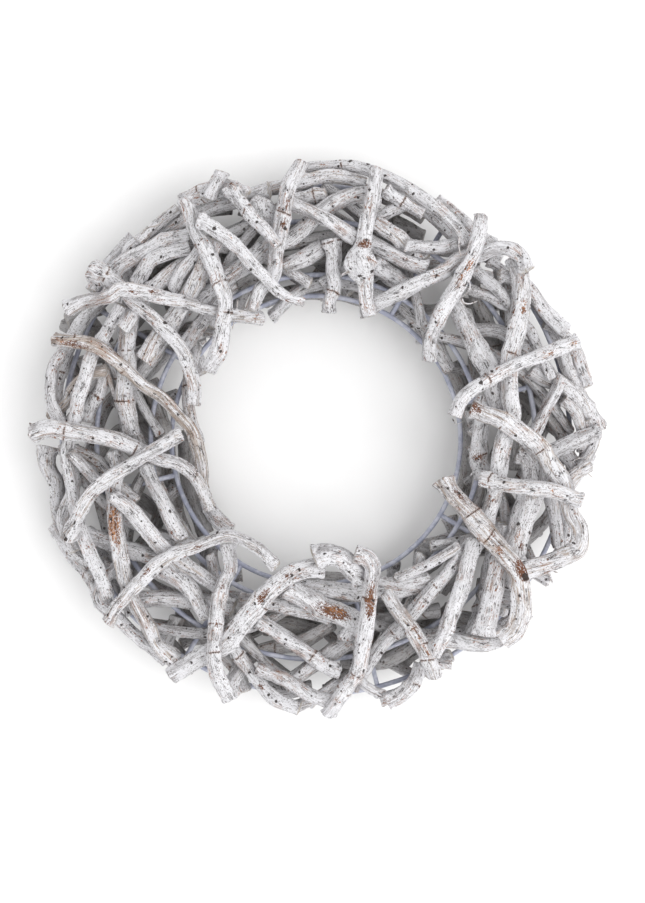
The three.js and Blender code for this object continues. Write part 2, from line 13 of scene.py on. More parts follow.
import bpy
import numpy as np
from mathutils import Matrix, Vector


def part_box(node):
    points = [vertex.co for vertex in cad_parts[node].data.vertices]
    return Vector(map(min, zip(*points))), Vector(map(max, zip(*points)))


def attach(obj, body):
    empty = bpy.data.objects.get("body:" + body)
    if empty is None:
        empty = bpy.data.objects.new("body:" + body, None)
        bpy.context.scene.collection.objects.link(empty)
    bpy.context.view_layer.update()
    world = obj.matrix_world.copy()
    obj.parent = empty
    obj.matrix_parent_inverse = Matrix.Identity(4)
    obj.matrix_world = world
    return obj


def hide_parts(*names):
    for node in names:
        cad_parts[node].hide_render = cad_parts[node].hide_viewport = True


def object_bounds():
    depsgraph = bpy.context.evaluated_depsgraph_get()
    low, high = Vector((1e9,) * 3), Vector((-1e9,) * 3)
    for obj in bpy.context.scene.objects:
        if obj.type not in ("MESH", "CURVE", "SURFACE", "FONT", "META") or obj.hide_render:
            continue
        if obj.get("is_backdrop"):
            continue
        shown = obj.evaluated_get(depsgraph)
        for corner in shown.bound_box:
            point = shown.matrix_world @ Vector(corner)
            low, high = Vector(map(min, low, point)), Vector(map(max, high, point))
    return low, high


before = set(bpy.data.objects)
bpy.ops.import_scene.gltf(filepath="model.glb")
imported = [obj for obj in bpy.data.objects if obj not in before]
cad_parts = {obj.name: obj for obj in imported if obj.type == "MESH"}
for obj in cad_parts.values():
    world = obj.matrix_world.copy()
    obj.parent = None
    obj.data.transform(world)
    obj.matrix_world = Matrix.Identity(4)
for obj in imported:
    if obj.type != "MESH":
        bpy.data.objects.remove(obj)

log = logging.getLogger("wreath")

Socket = bpy.types.NodeSocket
Colour = tuple[float, float, float, float]
Range = tuple[float, float]
Route = tuple[tuple[float, float], ...]

MM = 0.001  # metres in a millimetre
TURN = 2 * np.pi
PHOTO_SCALE = 0.70  # mm for one pixel of the photograph at the routes' level
PHOTO_CENTRE = (316, 440)  # pixel at which the middle of the ring lies
PHOTO_SIZE = (645, 903)

# The rule by which the stems are laid, the same as the solids', in mm
FRAME_HEIGHT = 37.4
WIRE_RADIUS = 1.8
WIRE_RINGS = ((103, 0), (117, 9), (155, 10), (181, 0))  # radius, rise above FRAME_HEIGHT
WIRE_RUNGS = 8
WIRE_RUNG_TURN = 14  # degrees from +X to the first cross wire
WIRE_STEPS = 32
CORE_RADIUS = 144
CORE_SPREAD = 38
CORE_THICKNESS = 7
CORE_SHARES = (0.04, 0.35, 0.65, 0.96)  # of a sector, where a core stem's route has its points
SECTORS = 8
VIEW_HEIGHT = 1300
PLAN_LEVEL = 60
CLEARANCE = 0.35
SINK = 2.4  # how far stems of one bunch sink into each other
BEND_RADIUS = 130
LOWEST = 4
STATION_STEP = 18
SAMPLE_STEP = 2

FAR = 99.0  # mm, which stands for no cracked joint on the stem


class Patch(Enum):
    """What a mark on the bark is."""

    BROWN = "bare brown bark"
    ORANGE = "fresh orange wood"
    NODE = "swollen joint of the stem"
    PIT = "bud scar"
    BURL = "round lump on one side"


BROWN, ORANGE, NODE, PIT, BURL = Patch


@dataclass(frozen=True)
class Mark:
    """A mark on a stem, at a pixel of the photograph, with its size along and across in mm."""

    patch: Patch
    x: float
    y: float
    along: float = 3.0
    across: float = 3.0


@dataclass(frozen=True)
class Stem:
    """A length of vine or willow: its route in plan and its diameters, in mm.

    Args:
        name: a plain name, by which its marks find it.
        thick: diameters at even steps from the first end to the last, one where they are the same.
        path: the route in plan, as seen from VIEW_HEIGHT and true at PLAN_LEVEL.
        bunch: the sector whose bunch it is fused to, or None for a piece of its own.
        bed: how much closer it lies to what it crosses.
        knobs: (share of the length, diameter) of each knob.
        side: 1 for the front, -1 for the back.
    """

    name: str
    thick: tuple[float, ...]
    path: Route
    bunch: int | None = None
    bed: float = 0.0
    knobs: tuple[tuple[float, float], ...] = ()
    side: int = 1


FRONT_STEMS = (
    Stem("ae", (12.5,), bunch=6, path=(
        (-17, -103), (9, -106), (33, -107), (46, -103), (60, -103), (80, -97))),
    Stem("aj", (10,), bunch=6, path=(
        (25, -174), (32, -164), (47, -143), (59, -131), (68, -122), (83, -104), (100, -81), (106, -72))),
    Stem("af", (7,), bunch=6, path=((55, -98), (78, -88), (101, -74))),
    Stem("ak", (7.5,), bunch=6, path=((29, -167), (38, -174), (48, -179))),
    Stem("ad", (8.5,), bunch=5, path=((-17, -188), (5, -178), (17, -170))),
    Stem("ac", (9,), bunch=5, path=(
        (-64, -130), (-59, -142), (-50, -157), (-41, -169), (-29, -181), (-11, -188))),
    Stem("ea", (12,), bunch=5, path=((-128, -112), (-100, -111), (-72, -115), (-57, -118))),
    Stem("al", (10.5,), bunch=6, path=((74, -157), (68, -171), (60, -178), (49, -183))),
    Stem("ef", (11,), bunch=5, path=((25, -140), (0, -156), (-22, -173))),
    Stem("ed", (13, 14), bunch=7, path=(
        (134, -58), (128, -72), (124, -90), (121, -106), (115, -126), (108, -140))),
    Stem("am", (11,), bunch=7, path=((87, -139), (99, -141), (112, -143), (121, -142), (129, -139))),
    Stem("bm", (13,), bunch=0, path=((150, 50), (162, 44), (173, 38), (183, 30), (190, 19), (197, 7))),
    Stem("bn", (8.5,), bunch=0, path=((160, 83), (172, 74), (182, 62), (186, 50), (190, 37))),
    Stem("bo", (9,), bunch=0, path=((172, 45), (168, 33), (163, 24), (157, 14), (153, 7), (150, -3))),
    Stem("bp", (8,), bunch=0, path=((173, 29), (181, 20), (186, 6), (187, -8))),
    Stem("eg", (12,), bunch=7, path=((119, 30), (115, 8), (113, -12), (118, -26))),
    Stem("bq", (11,), bunch=0, path=((162, -10), (176, -3), (199, 6))),
    Stem("ar", (9,), bunch=7, path=((157, -16), (161, -29), (164, -41), (167, -54), (169, -74))),
    Stem("as", (17, 18, 16), bunch=7, path=(
        (141, -7), (150, -15), (150, -42), (146, -54), (141, -70), (139, -82))),
    Stem("br", (8,), bunch=7, path=((150, -37), (162, -33), (174, -29), (184, -22), (192, -18))),
    Stem("bg", (14,), bed=1.4, path=(
        (93, 99), (99, 91), (107, 76), (116, 59), (123, 48), (127, 31), (132, 20))),
    Stem("bh", (8,), bunch=0, path=((106, 106), (119, 101), (135, 93))),
    Stem("bi", (8,), bunch=0, path=((110, 120), (120, 112), (129, 104), (137, 94))),
    Stem("bj", (7,), bunch=0, path=((121, 126), (131, 118), (136, 105))),
    Stem("bk", (10.5,), bunch=0, path=((127, 115), (139, 112), (148, 106), (162, 88), (176, 75))),
    Stem("bl", (7,), bunch=0, path=((142, 88), (150, 76), (155, 65), (160, 54), (165, 42))),
    Stem("bd", (8.5,), bunch=1, path=(
        (38, 151), (52, 160), (65, 165), (73, 163), (83, 155), (95, 143), (104, 134))),
    Stem("be", (11,), bunch=1, path=((41, 152), (55, 143), (66, 134), (78, 126))),
    Stem("bf", (11,), bunch=1, path=((35, 140), (48, 133), (62, 126), (78, 120))),
    Stem("ee", (9,), bunch=1, path=((62, 136), (87, 135), (111, 140))),
    Stem("bc", (8,), bed=0.5, path=(
        (-8, 191), (10, 192), (26, 192), (38, 189), (55, 182), (73, 171), (87, 161), (99, 148), (106, 138))),
    Stem("cc", (9,), bunch=2, path=(
        (-50, 162), (-41, 173), (-29, 177), (-14, 179), (-2, 183), (10, 185), (22, 183), (34, 179))),
    Stem("ba", (10.5,), bunch=2, path=((-15, 168), (-3, 171), (8, 172))),
    Stem("cl", (11,), path=(
        (-81, 98), (-71, 107), (-62, 115), (-50, 122), (-38, 133), (-29, 138), (-18, 141), (-6, 149),
        (3, 158), (18, 168), (30, 172), (46, 170))),
    Stem("cm", (11.5,), bunch=2, path=((-24, 121), (-10, 127), (5, 135))),
    Stem("cd", (10, 18, 9), bunch=2, path=((-44, 168), (-36, 160), (-28, 152))),
    Stem("ch", (8, 8, 11), bunch=3, path=(
        (-124, 110), (-130, 121), (-131, 132), (-125, 139), (-115, 146), (-105, 153), (-95, 159),
        (-85, 167), (-73, 174), (-59, 177))),
    Stem("cf", (12.5,), bunch=3, path=((-144, 115), (-132, 125), (-116, 133), (-102, 140), (-88, 142))),
    Stem("cg", (10.5,), bunch=3, path=((-88, 134), (-107, 129), (-116, 125), (-122, 116), (-126, 108))),
    Stem("cj", (10.5,), bunch=3, path=((-78, 136), (-85, 127), (-94, 117), (-101, 105))),
    Stem("q", (13, 12.5), bunch=3, path=(
        (-129, 90), (-132, 68), (-132, 46), (-134, 31), (-132, 16), (-129, 3))),
    Stem("ck", (11,), bed=1, path=(
        (-69, 140), (-78, 123), (-86, 106), (-97, 89), (-107, 77), (-115, 66), (-121, 55))),
    Stem("s", (9,), bunch=3, path=((-148, 52), (-150, 38), (-157, 24), (-162, 13))),
    Stem("twig", (3.5,), bunch=3, path=((-148, 52), (-141, 31))),
    Stem("grey", (8,), bunch=3, path=((-187, 15), (-174, 28), (-169, 38), (-159, 46), (-146, 49))),
    Stem("u", (9,), bunch=3, path=((-176, 63), (-183, 53), (-185, 41), (-185, 27), (-182, 19), (-177, 9))),
    Stem("v", (12.5, 8), bunch=4, path=(
        (-188, -4), (-188, -17), (-182, -31), (-181, -48), (-179, -60), (-173, -74))),
    Stem("rim", (9,), bunch=4, path=((-184, -59), (-175, -73), (-165, -81), (-150, -88), (-130, -96))),
    Stem("eb", (11,), bunch=4, path=((-162, -65), (-144, -72), (-118, -81), (-99, -86))),
    Stem("ec", (10,), bunch=4, path=((-172, -5), (-152, -16), (-138, -32), (-126, -44))),
    Stem("m2", (8.5,), bunch=4, path=(
        (-136, -86), (-148, -98), (-152, -112), (-136, -127), (-122, -140), (-104, -154))),
    Stem("rl", (9,), path=(
        (-136, 95), (-143, 82), (-149, 71), (-157, 59), (-162, 42), (-167, 27), (-169, 14), (-174, -4),
        (-174, -17), (-171, -32), (-169, -45), (-165, -63), (-158, -80), (-151, -95), (-145, -111))),
    Stem("j", (11,), path=(
        (-141, -7), (-139, -21), (-142, -33), (-141, -44), (-141, -61), (-137, -80), (-133, -99),
        (-127, -114), (-118, -129), (-111, -143), (-99, -154))),
    Stem("n", (10.5,), path=(
        (-144, -38), (-131, -47), (-119, -61), (-109, -73), (-94, -85), (-81, -94), (-68, -104))),
    Stem("p", (10,), bunch=4, path=((-120, -18), (-113, -32), (-106, -46), (-99, -62), (-94, -71))),
    Stem("at", (11.5, 9), path=(
        (139, 128), (144, 113), (143, 94), (139, 73), (136, 58), (136, 31), (138, 17), (133, 4), (129, -11),
        (127, -28), (123, -45), (118, -59))),
    Stem("ah", (10.5,), path=((81, -150), (91, -134), (97, -117), (103, -100), (108, -81), (113, -70))),
    Stem("ax", (11.5, 8.5), bed=0.9, path=((10, 141), (13, 129), (12, 118), (13, 107), (9, 96), (9, 89))),
    Stem("ay", (10,), bed=0.4, path=((-22, 168), (-16, 165), (-2, 159), (14, 150), (28, 141))),
    Stem("ke", (9.5,), knobs=((0.03, 15),), path=(
        (-157, 119), (-146, 113), (-136, 106), (-127, 96), (-115, 87), (-104, 75), (-94, 63), (-88, 48),
        (-85, 36), (-86, 24))),
    Stem("d", (10.5, 8), path=(
        (-176, 91), (-160, 97), (-145, 100), (-136, 105), (-122, 104), (-111, 101), (-96, 97), (-80, 92),
        (-65, 89), (-37, 85))),
    Stem("c", (10.5,), path=(
        (-92, 169), (-89, 160), (-85, 147), (-78, 134), (-72, 121), (-68, 110), (-64, 98), (-64, 90),
        (-66, 78), (-68, 63), (-76, 47))),
    Stem("f", (9,), path=(
        (-184, 71), (-169, 69), (-153, 65), (-142, 57), (-131, 48), (-120, 38), (-109, 31), (-96, 18),
        (-87, 7), (-81, -13), (-80, -30), (-78, -39))),
    Stem("g", (13, 10.5, 8.5), path=(
        (-199, 4), (-188, 8), (-169, 6), (-153, 3), (-139, -1), (-127, -6), (-109, -14), (-96, -17),
        (-85, -26), (-78, -39), (-74, -50))),
    Stem("h", (9,), knobs=((0.04, 12),), path=(
        (-174, -70), (-169, -59), (-158, -39), (-145, -27), (-130, -18), (-115, -8), (-104, -1), (-94, 5))),
    Stem("aa", (13,), path=((-21, -103), (-8, -110), (5, -118), (17, -122), (26, -129), (24, -140))),
    Stem("ab", (10.5,), path=((-41, -126), (-25, -137), (-8, -148), (5, -157), (17, -163))),
    Stem("w", (12,), bed=1.2, path=(
        (-102, -166), (-90, -158), (-78, -150), (-64, -143), (-55, -131), (-44, -118), (-33, -106),
        (-19, -95), (-6, -90), (6, -89))),
    Stem("o", (10,), path=(
        (-62, -73), (-60, -91), (-64, -99), (-68, -111), (-70, -129), (-71, -145), (-71, -156), (-68, -167),
        (-59, -182))),
    Stem("y", (12.5,), bed=1.3, knobs=((0.06, 14),), path=(
        (-2, -83), (10, -81), (20, -85), (29, -94), (34, -98))),
    Stem("x", (11.5, 9.5), bed=0.8, path=(
        (27, -80), (35, -83), (39, -89), (39, -99), (38, -112), (36, -129), (33, -146), (29, -162),
        (22, -172), (15, -183), (8, -193))),
    Stem("i", (9,), path=(
        (-146, -129), (-140, -118), (-131, -108), (-120, -97), (-111, -87), (-99, -80), (-85, -75),
        (-74, -70), (-62, -67), (-52, -70), (-37, -79), (-27, -89))),
    Stem("ai", (10.5,), bed=1, path=(
        (49, -107), (56, -118), (66, -132), (74, -145), (80, -157), (83, -167))),
    Stem("aq", (10.5,), path=(
        (108, 22), (120, 17), (131, 13), (146, 3), (158, -6), (165, -18), (174, -30), (178, -49),
        (185, -64), (183, -76), (171, -82), (157, -88), (144, -93))),
    Stem("ao", (9,), path=((115, -27), (126, -30), (150, -34), (166, -36), (187, -43))),
    Stem("ap", (9,), bed=0.6, path=(
        (97, 16), (104, 29), (120, 41), (135, 50), (154, 58), (169, 64), (183, 69))),
    Stem("an", (12, 12.5, 12), bed=1, path=(
        (89, -27), (96, -37), (109, -52), (120, -66), (132, -80), (141, -93), (143, -106), (143, -119),
        (138, -133), (129, -140))),
    Stem("av", (10,), path=(
        (39, 94), (59, 103), (75, 111), (91, 119), (99, 126), (115, 129), (123, 133), (135, 134),
        (144, 129), (148, 118))),
    Stem("au", (10,), path=(
        (115, 158), (114, 146), (110, 132), (104, 119), (99, 108), (91, 95), (85, 83), (80, 69), (80, 56))),
    Stem("aw", (9,), knobs=((0.65, 17),), path=(
        (42, 190), (41, 178), (38, 162), (35, 146), (34, 138), (31, 123), (34, 110), (35, 97), (37, 86))),
    Stem("a", (10, 12, 7.5), path=(
        (-10, 195), (-14, 187), (-20, 174), (-23, 157), (-28, 133), (-31, 113), (-39, 105), (-45, 90))),
    Stem("b", (10, 6.5), knobs=((0.16, 10),), path=(
        (-83, 155), (-71, 148), (-59, 139), (-48, 127), (-36, 115), (-27, 105), (-17, 99), (-8, 97))),
    Stem("cb", (10.5, 7), knobs=((0.05, 12),), path=(
        (-59, 178), (-53, 167), (-45, 156), (-34, 145), (-26, 135))),
)

# Stems of the layers below, read from the photograph: diameter in mm, height in mm, pixels
FILL_STEMS = (
    (12, 50, ((110, 280), (140, 250), (170, 230), (200, 212), (235, 200), (270, 190))),
    (13, 54, ((182, 204), (205, 193), (228, 188), (246, 198))),
    (10, 42, ((150, 240), (185, 214), (225, 204), (262, 190), (300, 184))),
    (10, 58, ((150, 264), (180, 250), (215, 240), (252, 224))),
    (11, 56, ((122, 330), (150, 292), (185, 264), (216, 250))),
    (10, 54, ((222, 262), (262, 250), (310, 240), (340, 236))),
    (9, 44, ((236, 282), (280, 264), (326, 258))),
    (11, 44, ((60, 422), (56, 390), (66, 350), (85, 318), (112, 290))),
    (9, 58, ((104, 345), (120, 380), (128, 420), (140, 446))),
    (11, 54, ((192, 298), (165, 340), (140, 374), (116, 408))),
    (9, 40, ((198, 344), (188, 385), (190, 420), (200, 444))),
    (10, 48, ((66, 444), (75, 480), (64, 520), (74, 552))),
    (12, 44, ((58, 528), (75, 556), (92, 576), (104, 606))),
    (9, 50, ((84, 452), (98, 490), (108, 530), (118, 562))),
    (11, 38, ((204, 498), (214, 514), (232, 532))),
    (12, 56, ((160, 566), (188, 588), (208, 620))),
    (10, 50, ((178, 616), (166, 650), (184, 672))),
    (10, 46, ((180, 608), (204, 640), (232, 664), (246, 692))),
    (11, 52, ((226, 690), (258, 652), (298, 642), (334, 622))),
    (10, 50, ((256, 668), (286, 680), (312, 696), (332, 702))),
    (11, 54, ((238, 600), (280, 606), (332, 616))),
    (10, 44, ((386, 186), (416, 202), (446, 226), (470, 246), (500, 262))),
    (10, 40, ((372, 284), (402, 304), (430, 334), (450, 372))),
    (11, 44, ((478, 294), (490, 330), (500, 368))),
    (10, 46, ((560, 348), (572, 380), (588, 410), (596, 440))),
    (10, 48, ((494, 398), (510, 430), (512, 470))),
    (10, 42, ((500, 480), (492, 520), (470, 556), (440, 592))),
    (10, 44, ((380, 700), (405, 690), (426, 666), (452, 654))),
    (15, 58, ((480, 602), (500, 598), (523, 603))),
    (10, 46, ((560, 448), (582, 470), (588, 452))),
    (12, 52, ((443, 614), (475, 622), (510, 640))),
    (11, 50, ((376, 622), (408, 616), (440, 610))),
    (11, 52, ((233, 284), (206, 316), (180, 354))),
    (10, 48, ((470, 330), (500, 332), (530, 350))),
    (9, 40, ((552, 512), (534, 532), (512, 552), (500, 566))),
    (10, 42, ((470, 410), (482, 450), (478, 490), (466, 524))),
    (9, 36, ((330, 600), (372, 590), (420, 572), (452, 548))),
    (9, 38, ((270, 318), (300, 290), (340, 282), (384, 296))),
    (10, 38, ((120, 440), (150, 470), (168, 510), (196, 548))),
    (10, 40, ((340, 660), (380, 662), (420, 640), (452, 606))),
    (15, 76, ((500, 556), (496, 580), (490, 606), (483, 636))),
    (13, 74, ((476, 588), (496, 592), (516, 604), (526, 622))),
    (10, 50, ((520, 288), (540, 306), (556, 336), (566, 370))),
    (10, 56, ((524, 350), (548, 372), (570, 402), (590, 436))),
    (9, 48, ((536, 396), (552, 420), (568, 452), (574, 482))),
    (9, 46, ((586, 420), (594, 440), (584, 462), (570, 486))),
    (9, 52, ((384, 190), (400, 200), (424, 214))),
    (9, 44, ((546, 476), (560, 500), (568, 528), (560, 556))),
    (8, 50, ((138, 242), (156, 226), (178, 208))),
    (10, 66, ((207, 200), (215, 186), (223, 171))),
    (12, 22, ((452, 362), (464, 392), (470, 430), (468, 470), (459, 505))),
    (10, 46, ((188, 330), (196, 352), (203, 374))),
    (12, 26, ((150, 380), (158, 410), (165, 440))),
    (13, 26, ((186, 430), (188, 465), (194, 500), (206, 534))),
    (12, 24, ((166, 440), (170, 480), (178, 520), (192, 552))),
    (12, 18, ((262, 300), (300, 292), (340, 292), (372, 302))),
    (14, 20, ((140, 262), (158, 278), (176, 292))),
    (12, 28, ((62, 350), (72, 372), (88, 398))),
    (10, 24, ((392, 222), (408, 228), (424, 238))),
    (9, 56, ((436, 200), (458, 216), (480, 236), (496, 246))),
    (8, 56, ((520, 566), (536, 574), (550, 582))),
    (14, 40, ((470, 640), (490, 628), (512, 618), (524, 606))),
    (8, 44, ((420, 650), (438, 662), (452, 664))),
    (11, 30, ((398, 666), (410, 656), (426, 646))),
    (12, 26, ((262, 628), (288, 624), (316, 634))),
    (11, 30, ((160, 632), (176, 652), (196, 668))),
    (10, 34, ((262, 684), (284, 692), (312, 686))),
    (12, 34, ((98, 560), (112, 584), (126, 606))),
    (12, 56, ((372, 262), (392, 276), (416, 290))),
    (11, 60, ((120, 350), (130, 330), (142, 312))),
    (9, 56, ((70, 452), (86, 468), (104, 488))),
    (13, 20, ((152, 258), (160, 278), (166, 302))),
    (11, 30, ((66, 322), (84, 314), (104, 306))),
    (10, 24, ((84, 312), (94, 326), (108, 344))),
    (11, 44, ((134, 238), (114, 258), (92, 292))),
    (12, 24, ((288, 586), (320, 580), (352, 582))),
    (13, 26, ((186, 216), (208, 208), (232, 206))),
    (10, 26, ((318, 190), (345, 186), (372, 192), (400, 204), (424, 218))),
    (13, 22, ((64, 322), (78, 330), (96, 338))),
    (8, 30, ((556, 500), (566, 520), (566, 544))),
    (9, 30, ((486, 604), (494, 622), (500, 640))),
)
SHADED_FILL_LEVEL = 30.0  # mm, up to this wanted height a fill stem is darkened with painted shade, for the shadow deep between the stems

# How much broader than the solids some stems are in the photograph
FULLER = {"an": 1.12, "aq": 1.2, "at": 1.15, "ao": 1.1, "aa": 1.15, "cl": 1.1, "y": 1.1, "w": 1.1,
          "aw": 1.12}

# How far the wash has weathered off a stem along its whole length
WEATHERED = {"f": 0.4, "an": 0.28, "aq": 0.22, "grey": 0.45, "g": 0.15, "v": 0.15, "i": 0.15, "bm": 0.15,
             "br": 0.3, "twig": 0.45, "j": 0.2}

# What shows on each stem: patch, pixel, and where they are not 3 mm its size along and across
MARKS: dict[str, tuple[tuple[Any, ...], ...]] = {
    "b": ((PIT, 215, 228),),
    "c": ((NODE, 204, 240), (NODE, 219, 285), (NODE, 223, 312)),
    "d": ((BROWN, 132, 288, 7, 2), (BROWN, 151, 296, 5, 2)),
    "f": ((BROWN, 75, 338, 14, 3), (ORANGE, 62, 338, 8, 3), (BROWN, 110, 364, 12, 1.5), (NODE, 122, 372)),
    "i": ((BROWN, 150, 575, 9, 1.5), (BROWN, 196, 545, 7, 1.5)),
    "o": ((NODE, 216, 625), (NODE, 214, 653), (BROWN, 222, 588, 4, 2)),
    "x": ((NODE, 356, 673), (NODE, 347, 692), (BROWN, 371, 592, 12, 4), (BROWN, 368, 610, 8, 3),
          (ORANGE, 370, 600, 12, 3)),
    "aa": ((BROWN, 324, 609, 9, 5), (BROWN, 340, 616, 8, 5), (ORANGE, 333, 616, 10, 5)),
    "ai": ((NODE, 412, 630), (NODE, 420, 644), (NODE, 426, 661), (ORANGE, 421, 650, 9, 2),
           (ORANGE, 390, 600, 3, 2), (ORANGE, 409, 634, 6, 2.5), (BROWN, 414, 641, 4, 3)),
    "an": ((NODE, 471, 514), (NODE, 486, 538), (BROWN, 511, 572, 8, 5), (BROWN, 513, 577, 6, 4),
           (PIT, 514, 579, 5, 4), (ORANGE, 502, 549, 5, 4), (BROWN, 455, 500, 9, 3)),
    "as": ((BROWN, 513, 543, 5, 3), (PIT, 507, 541), (ORANGE, 520, 537, 5, 2), (PIT, 511, 527),
           (PIT, 526, 527)),
    "ed": ((BROWN, 493, 595, 5, 1.5), (NODE, 486, 611)),
    "ao": ((ORANGE, 553, 491, 3, 2), (NODE, 493, 479)),
    "ap": ((ORANGE, 570, 343, 5, 3), (ORANGE, 548, 350, 5, 2), (PIT, 482, 387), (NODE, 490, 383)),
    "aq": ((NODE, 503, 419), (NODE, 543, 451), (BROWN, 476, 413, 7, 4)),
    "av": ((PIT, 507, 264), (PIT, 514, 275)),
    "bc": ((PIT, 366, 174), (PIT, 455, 212), (PIT, 442, 203), (PIT, 351, 170)),
    "cb": ((BROWN, 232, 186, 5, 3), (PIT, 237, 232)),
    "ke": ((NODE, 104, 277), (PIT, 158, 330)),
    "au": ((ORANGE, 466, 262, 7, 3), (ORANGE, 461, 280, 7, 2.5), (BROWN, 465, 268, 5, 2)),
    "aw": ((BROWN, 362, 243, 3, 4), (ORANGE, 355, 257, 4, 3), (ORANGE, 343, 275, 4, 3),
           (BROWN, 366, 246, 3, 4), (BURL, 350, 262, 8, 2.2), (PIT, 355, 276), (PIT, 366, 274)),
    "cd": ((BURL, 262, 205, 9, 4),),
    "a": ((BROWN, 290, 210, 4, 1.5), (BROWN, 279, 222, 4, 2.5), (BROWN, 283, 204, 5, 2), (PIT, 276, 226),
          (NODE, 285, 214)),
    "g": ((NODE, 64, 436), (NODE, 138, 443)),
    "h": ((ORANGE, 104, 500, 3, 1.5), (PIT, 70, 537)),
    "w": ((PIT, 290, 573, 3, 3), (BROWN, 268, 594, 7, 2.5), (NODE, 262, 600), (BROWN, 288, 576, 4, 3),
          (BROWN, 262, 598, 4, 2)),
    "bd": ((ORANGE, 402, 204, 8, 1.5),),
    "ac": ((BROWN, 262, 686, 4, 2),),
    "ab": ((PIT, 286, 640, 2.5, 2),),
    "cl": ((PIT, 243, 204),),
    "ax": ((NODE, 337, 240), (NODE, 337, 294)),
    "j": ((ORANGE, 114, 516, 12, 5), (ORANGE, 116, 533, 10, 5), (BROWN, 117, 541, 5, 3)),
    "at": ((ORANGE, 518, 306, 7, 2.5), (PIT, 517, 275), (NODE, 506, 355), (BROWN, 517, 310, 4, 2.5),
           (BROWN, 525, 316, 5, 2)),
    "eg": ((BROWN, 478, 457, 4, 4),),
}

# Thin tendrils and fibres: diameter, height, and the pixels that each passes through
TENDRILS = (
    (1.5, 88, ((462, 298), (464, 303), (470, 304), (478, 301))),
    (1.3, 84, ((466, 270), (470, 288), (464, 296), (458, 299))),
    (1.4, 92, ((460, 236), (459, 246), (461, 257))),
    (1.3, 80, ((238, 300), (236, 315), (232, 330))),
    (1.5, 78, ((140, 235), (147, 228), (156, 226), (164, 221))),
    (1.2, 70, ((236, 268), (243, 260), (246, 250))),
    (1.6, 62, ((570, 462), (582, 458), (590, 468))),
    (1.2, 64, ((578, 470), (586, 472), (593, 478))),
    (5.5, 58, ((534, 560), (542, 570), (548, 578))),
    (3.0, 58, ((541, 568), (549, 574), (553, 584))),
    (2.2, 57, ((541, 566), (551, 570), (558, 573))),
    (1.2, 60, ((186, 404), (190, 415), (188, 428))),
    (1.0, 74, ((430, 352), (440, 362), (448, 366))),
    (1.0, 60, ((452, 418), (456, 424), (464, 421))),
    (1.1, 72, ((470, 476), (476, 470), (484, 468))),
    (2.6, 90, ((352, 272), (346, 273), (341, 276))),
)


def marks_of(stem: Stem) -> list[Mark]:
    """The marks of a stem."""
    return [Mark(*row) for row in MARKS.get(stem.name, ())]


def plan_point(x: float, y: float) -> np.ndarray:
    """The plan point in mm, from the middle of the ring, that a pixel of the photograph shows."""
    return np.array([PHOTO_SCALE * (x - PHOTO_CENTRE[0]), PHOTO_SCALE * (PHOTO_CENTRE[1] - y)])


def plan_path(pixels: Route) -> Route:
    """The route in plan through pixels of the photograph."""
    return tuple(tuple(plan_point(*pixel)) for pixel in pixels)


def polar(angle: float, radius: float) -> tuple[float, float]:
    """A polar point in plan, its angle in degrees from +X."""
    return radius * math.cos(math.radians(angle)), radius * math.sin(math.radians(angle))


def shrink(z: np.ndarray) -> np.ndarray:
    """How far a route that is true at PLAN_LEVEL is drawn in at height z, by perspective."""
    return (VIEW_HEIGHT - z) / (VIEW_HEIGHT - PLAN_LEVEL)


def in_space(seen: np.ndarray, z: np.ndarray, side: int = 1) -> np.ndarray:
    """Points in space from plan points and heights; routes of the back are not drawn in."""
    drawn = shrink(z) if side > 0 else np.ones_like(z)
    return np.column_stack([seen * drawn[:, None], z])


def bell(*away: np.ndarray) -> np.ndarray:
    """A bell shape, e^-(a^2 + b^2 + ...), 1 where every distance is 0."""
    return np.exp(-sum(part**2 for part in away))


def around_from(turn: np.ndarray, facing: float) -> np.ndarray:
    """Angles from facing, between minus and plus half a turn."""
    return (turn - facing + np.pi) % TURN - np.pi


def around_steps(count: int) -> np.ndarray:
    """Angles at even steps round a tube, as one row."""
    return np.linspace(0, TURN, count, endpoint=False)[None, :]


class SmoothNoise:
    """Random values on a unit lattice, blended between its corners with 3t^2 - 2t^3."""

    SIZE = 8192
    PRIMES = (73856093, 19349663, 83492791)  # mix a corner's place into its value's number

    def __init__(self, seed: int) -> None:
        """Draws the lattice's values, between -1 and 1."""
        self.values = np.random.default_rng(seed).uniform(-1, 1, self.SIZE)

    def __call__(self, x: np.ndarray, y: np.ndarray, z: np.ndarray) -> np.ndarray:
        """The noise at each point.

        Args:
            x, y, z: coordinates in lattice units, of one shape.

        Returns:
            Values between -1 and 1, of the same shape.
        """
        cells = [np.floor(c).astype(np.int64) for c in (x, y, z)]
        parts = [c - cell for c, cell in zip((x, y, z), cells)]
        blends = [t * t * (3 - 2 * t) for t in parts]
        total = np.zeros(np.broadcast(x, y, z).shape)
        for corner in np.ndindex(2, 2, 2):
            weight = 1.0
            for blend, high in zip(blends, corner):
                weight = weight * (blend if high else 1 - blend)
            i, j, k = ((cell + high) * prime for cell, high, prime in zip(cells, corner, self.PRIMES))
            total += weight * self.values[(i ^ j ^ k) % self.SIZE]
        return total


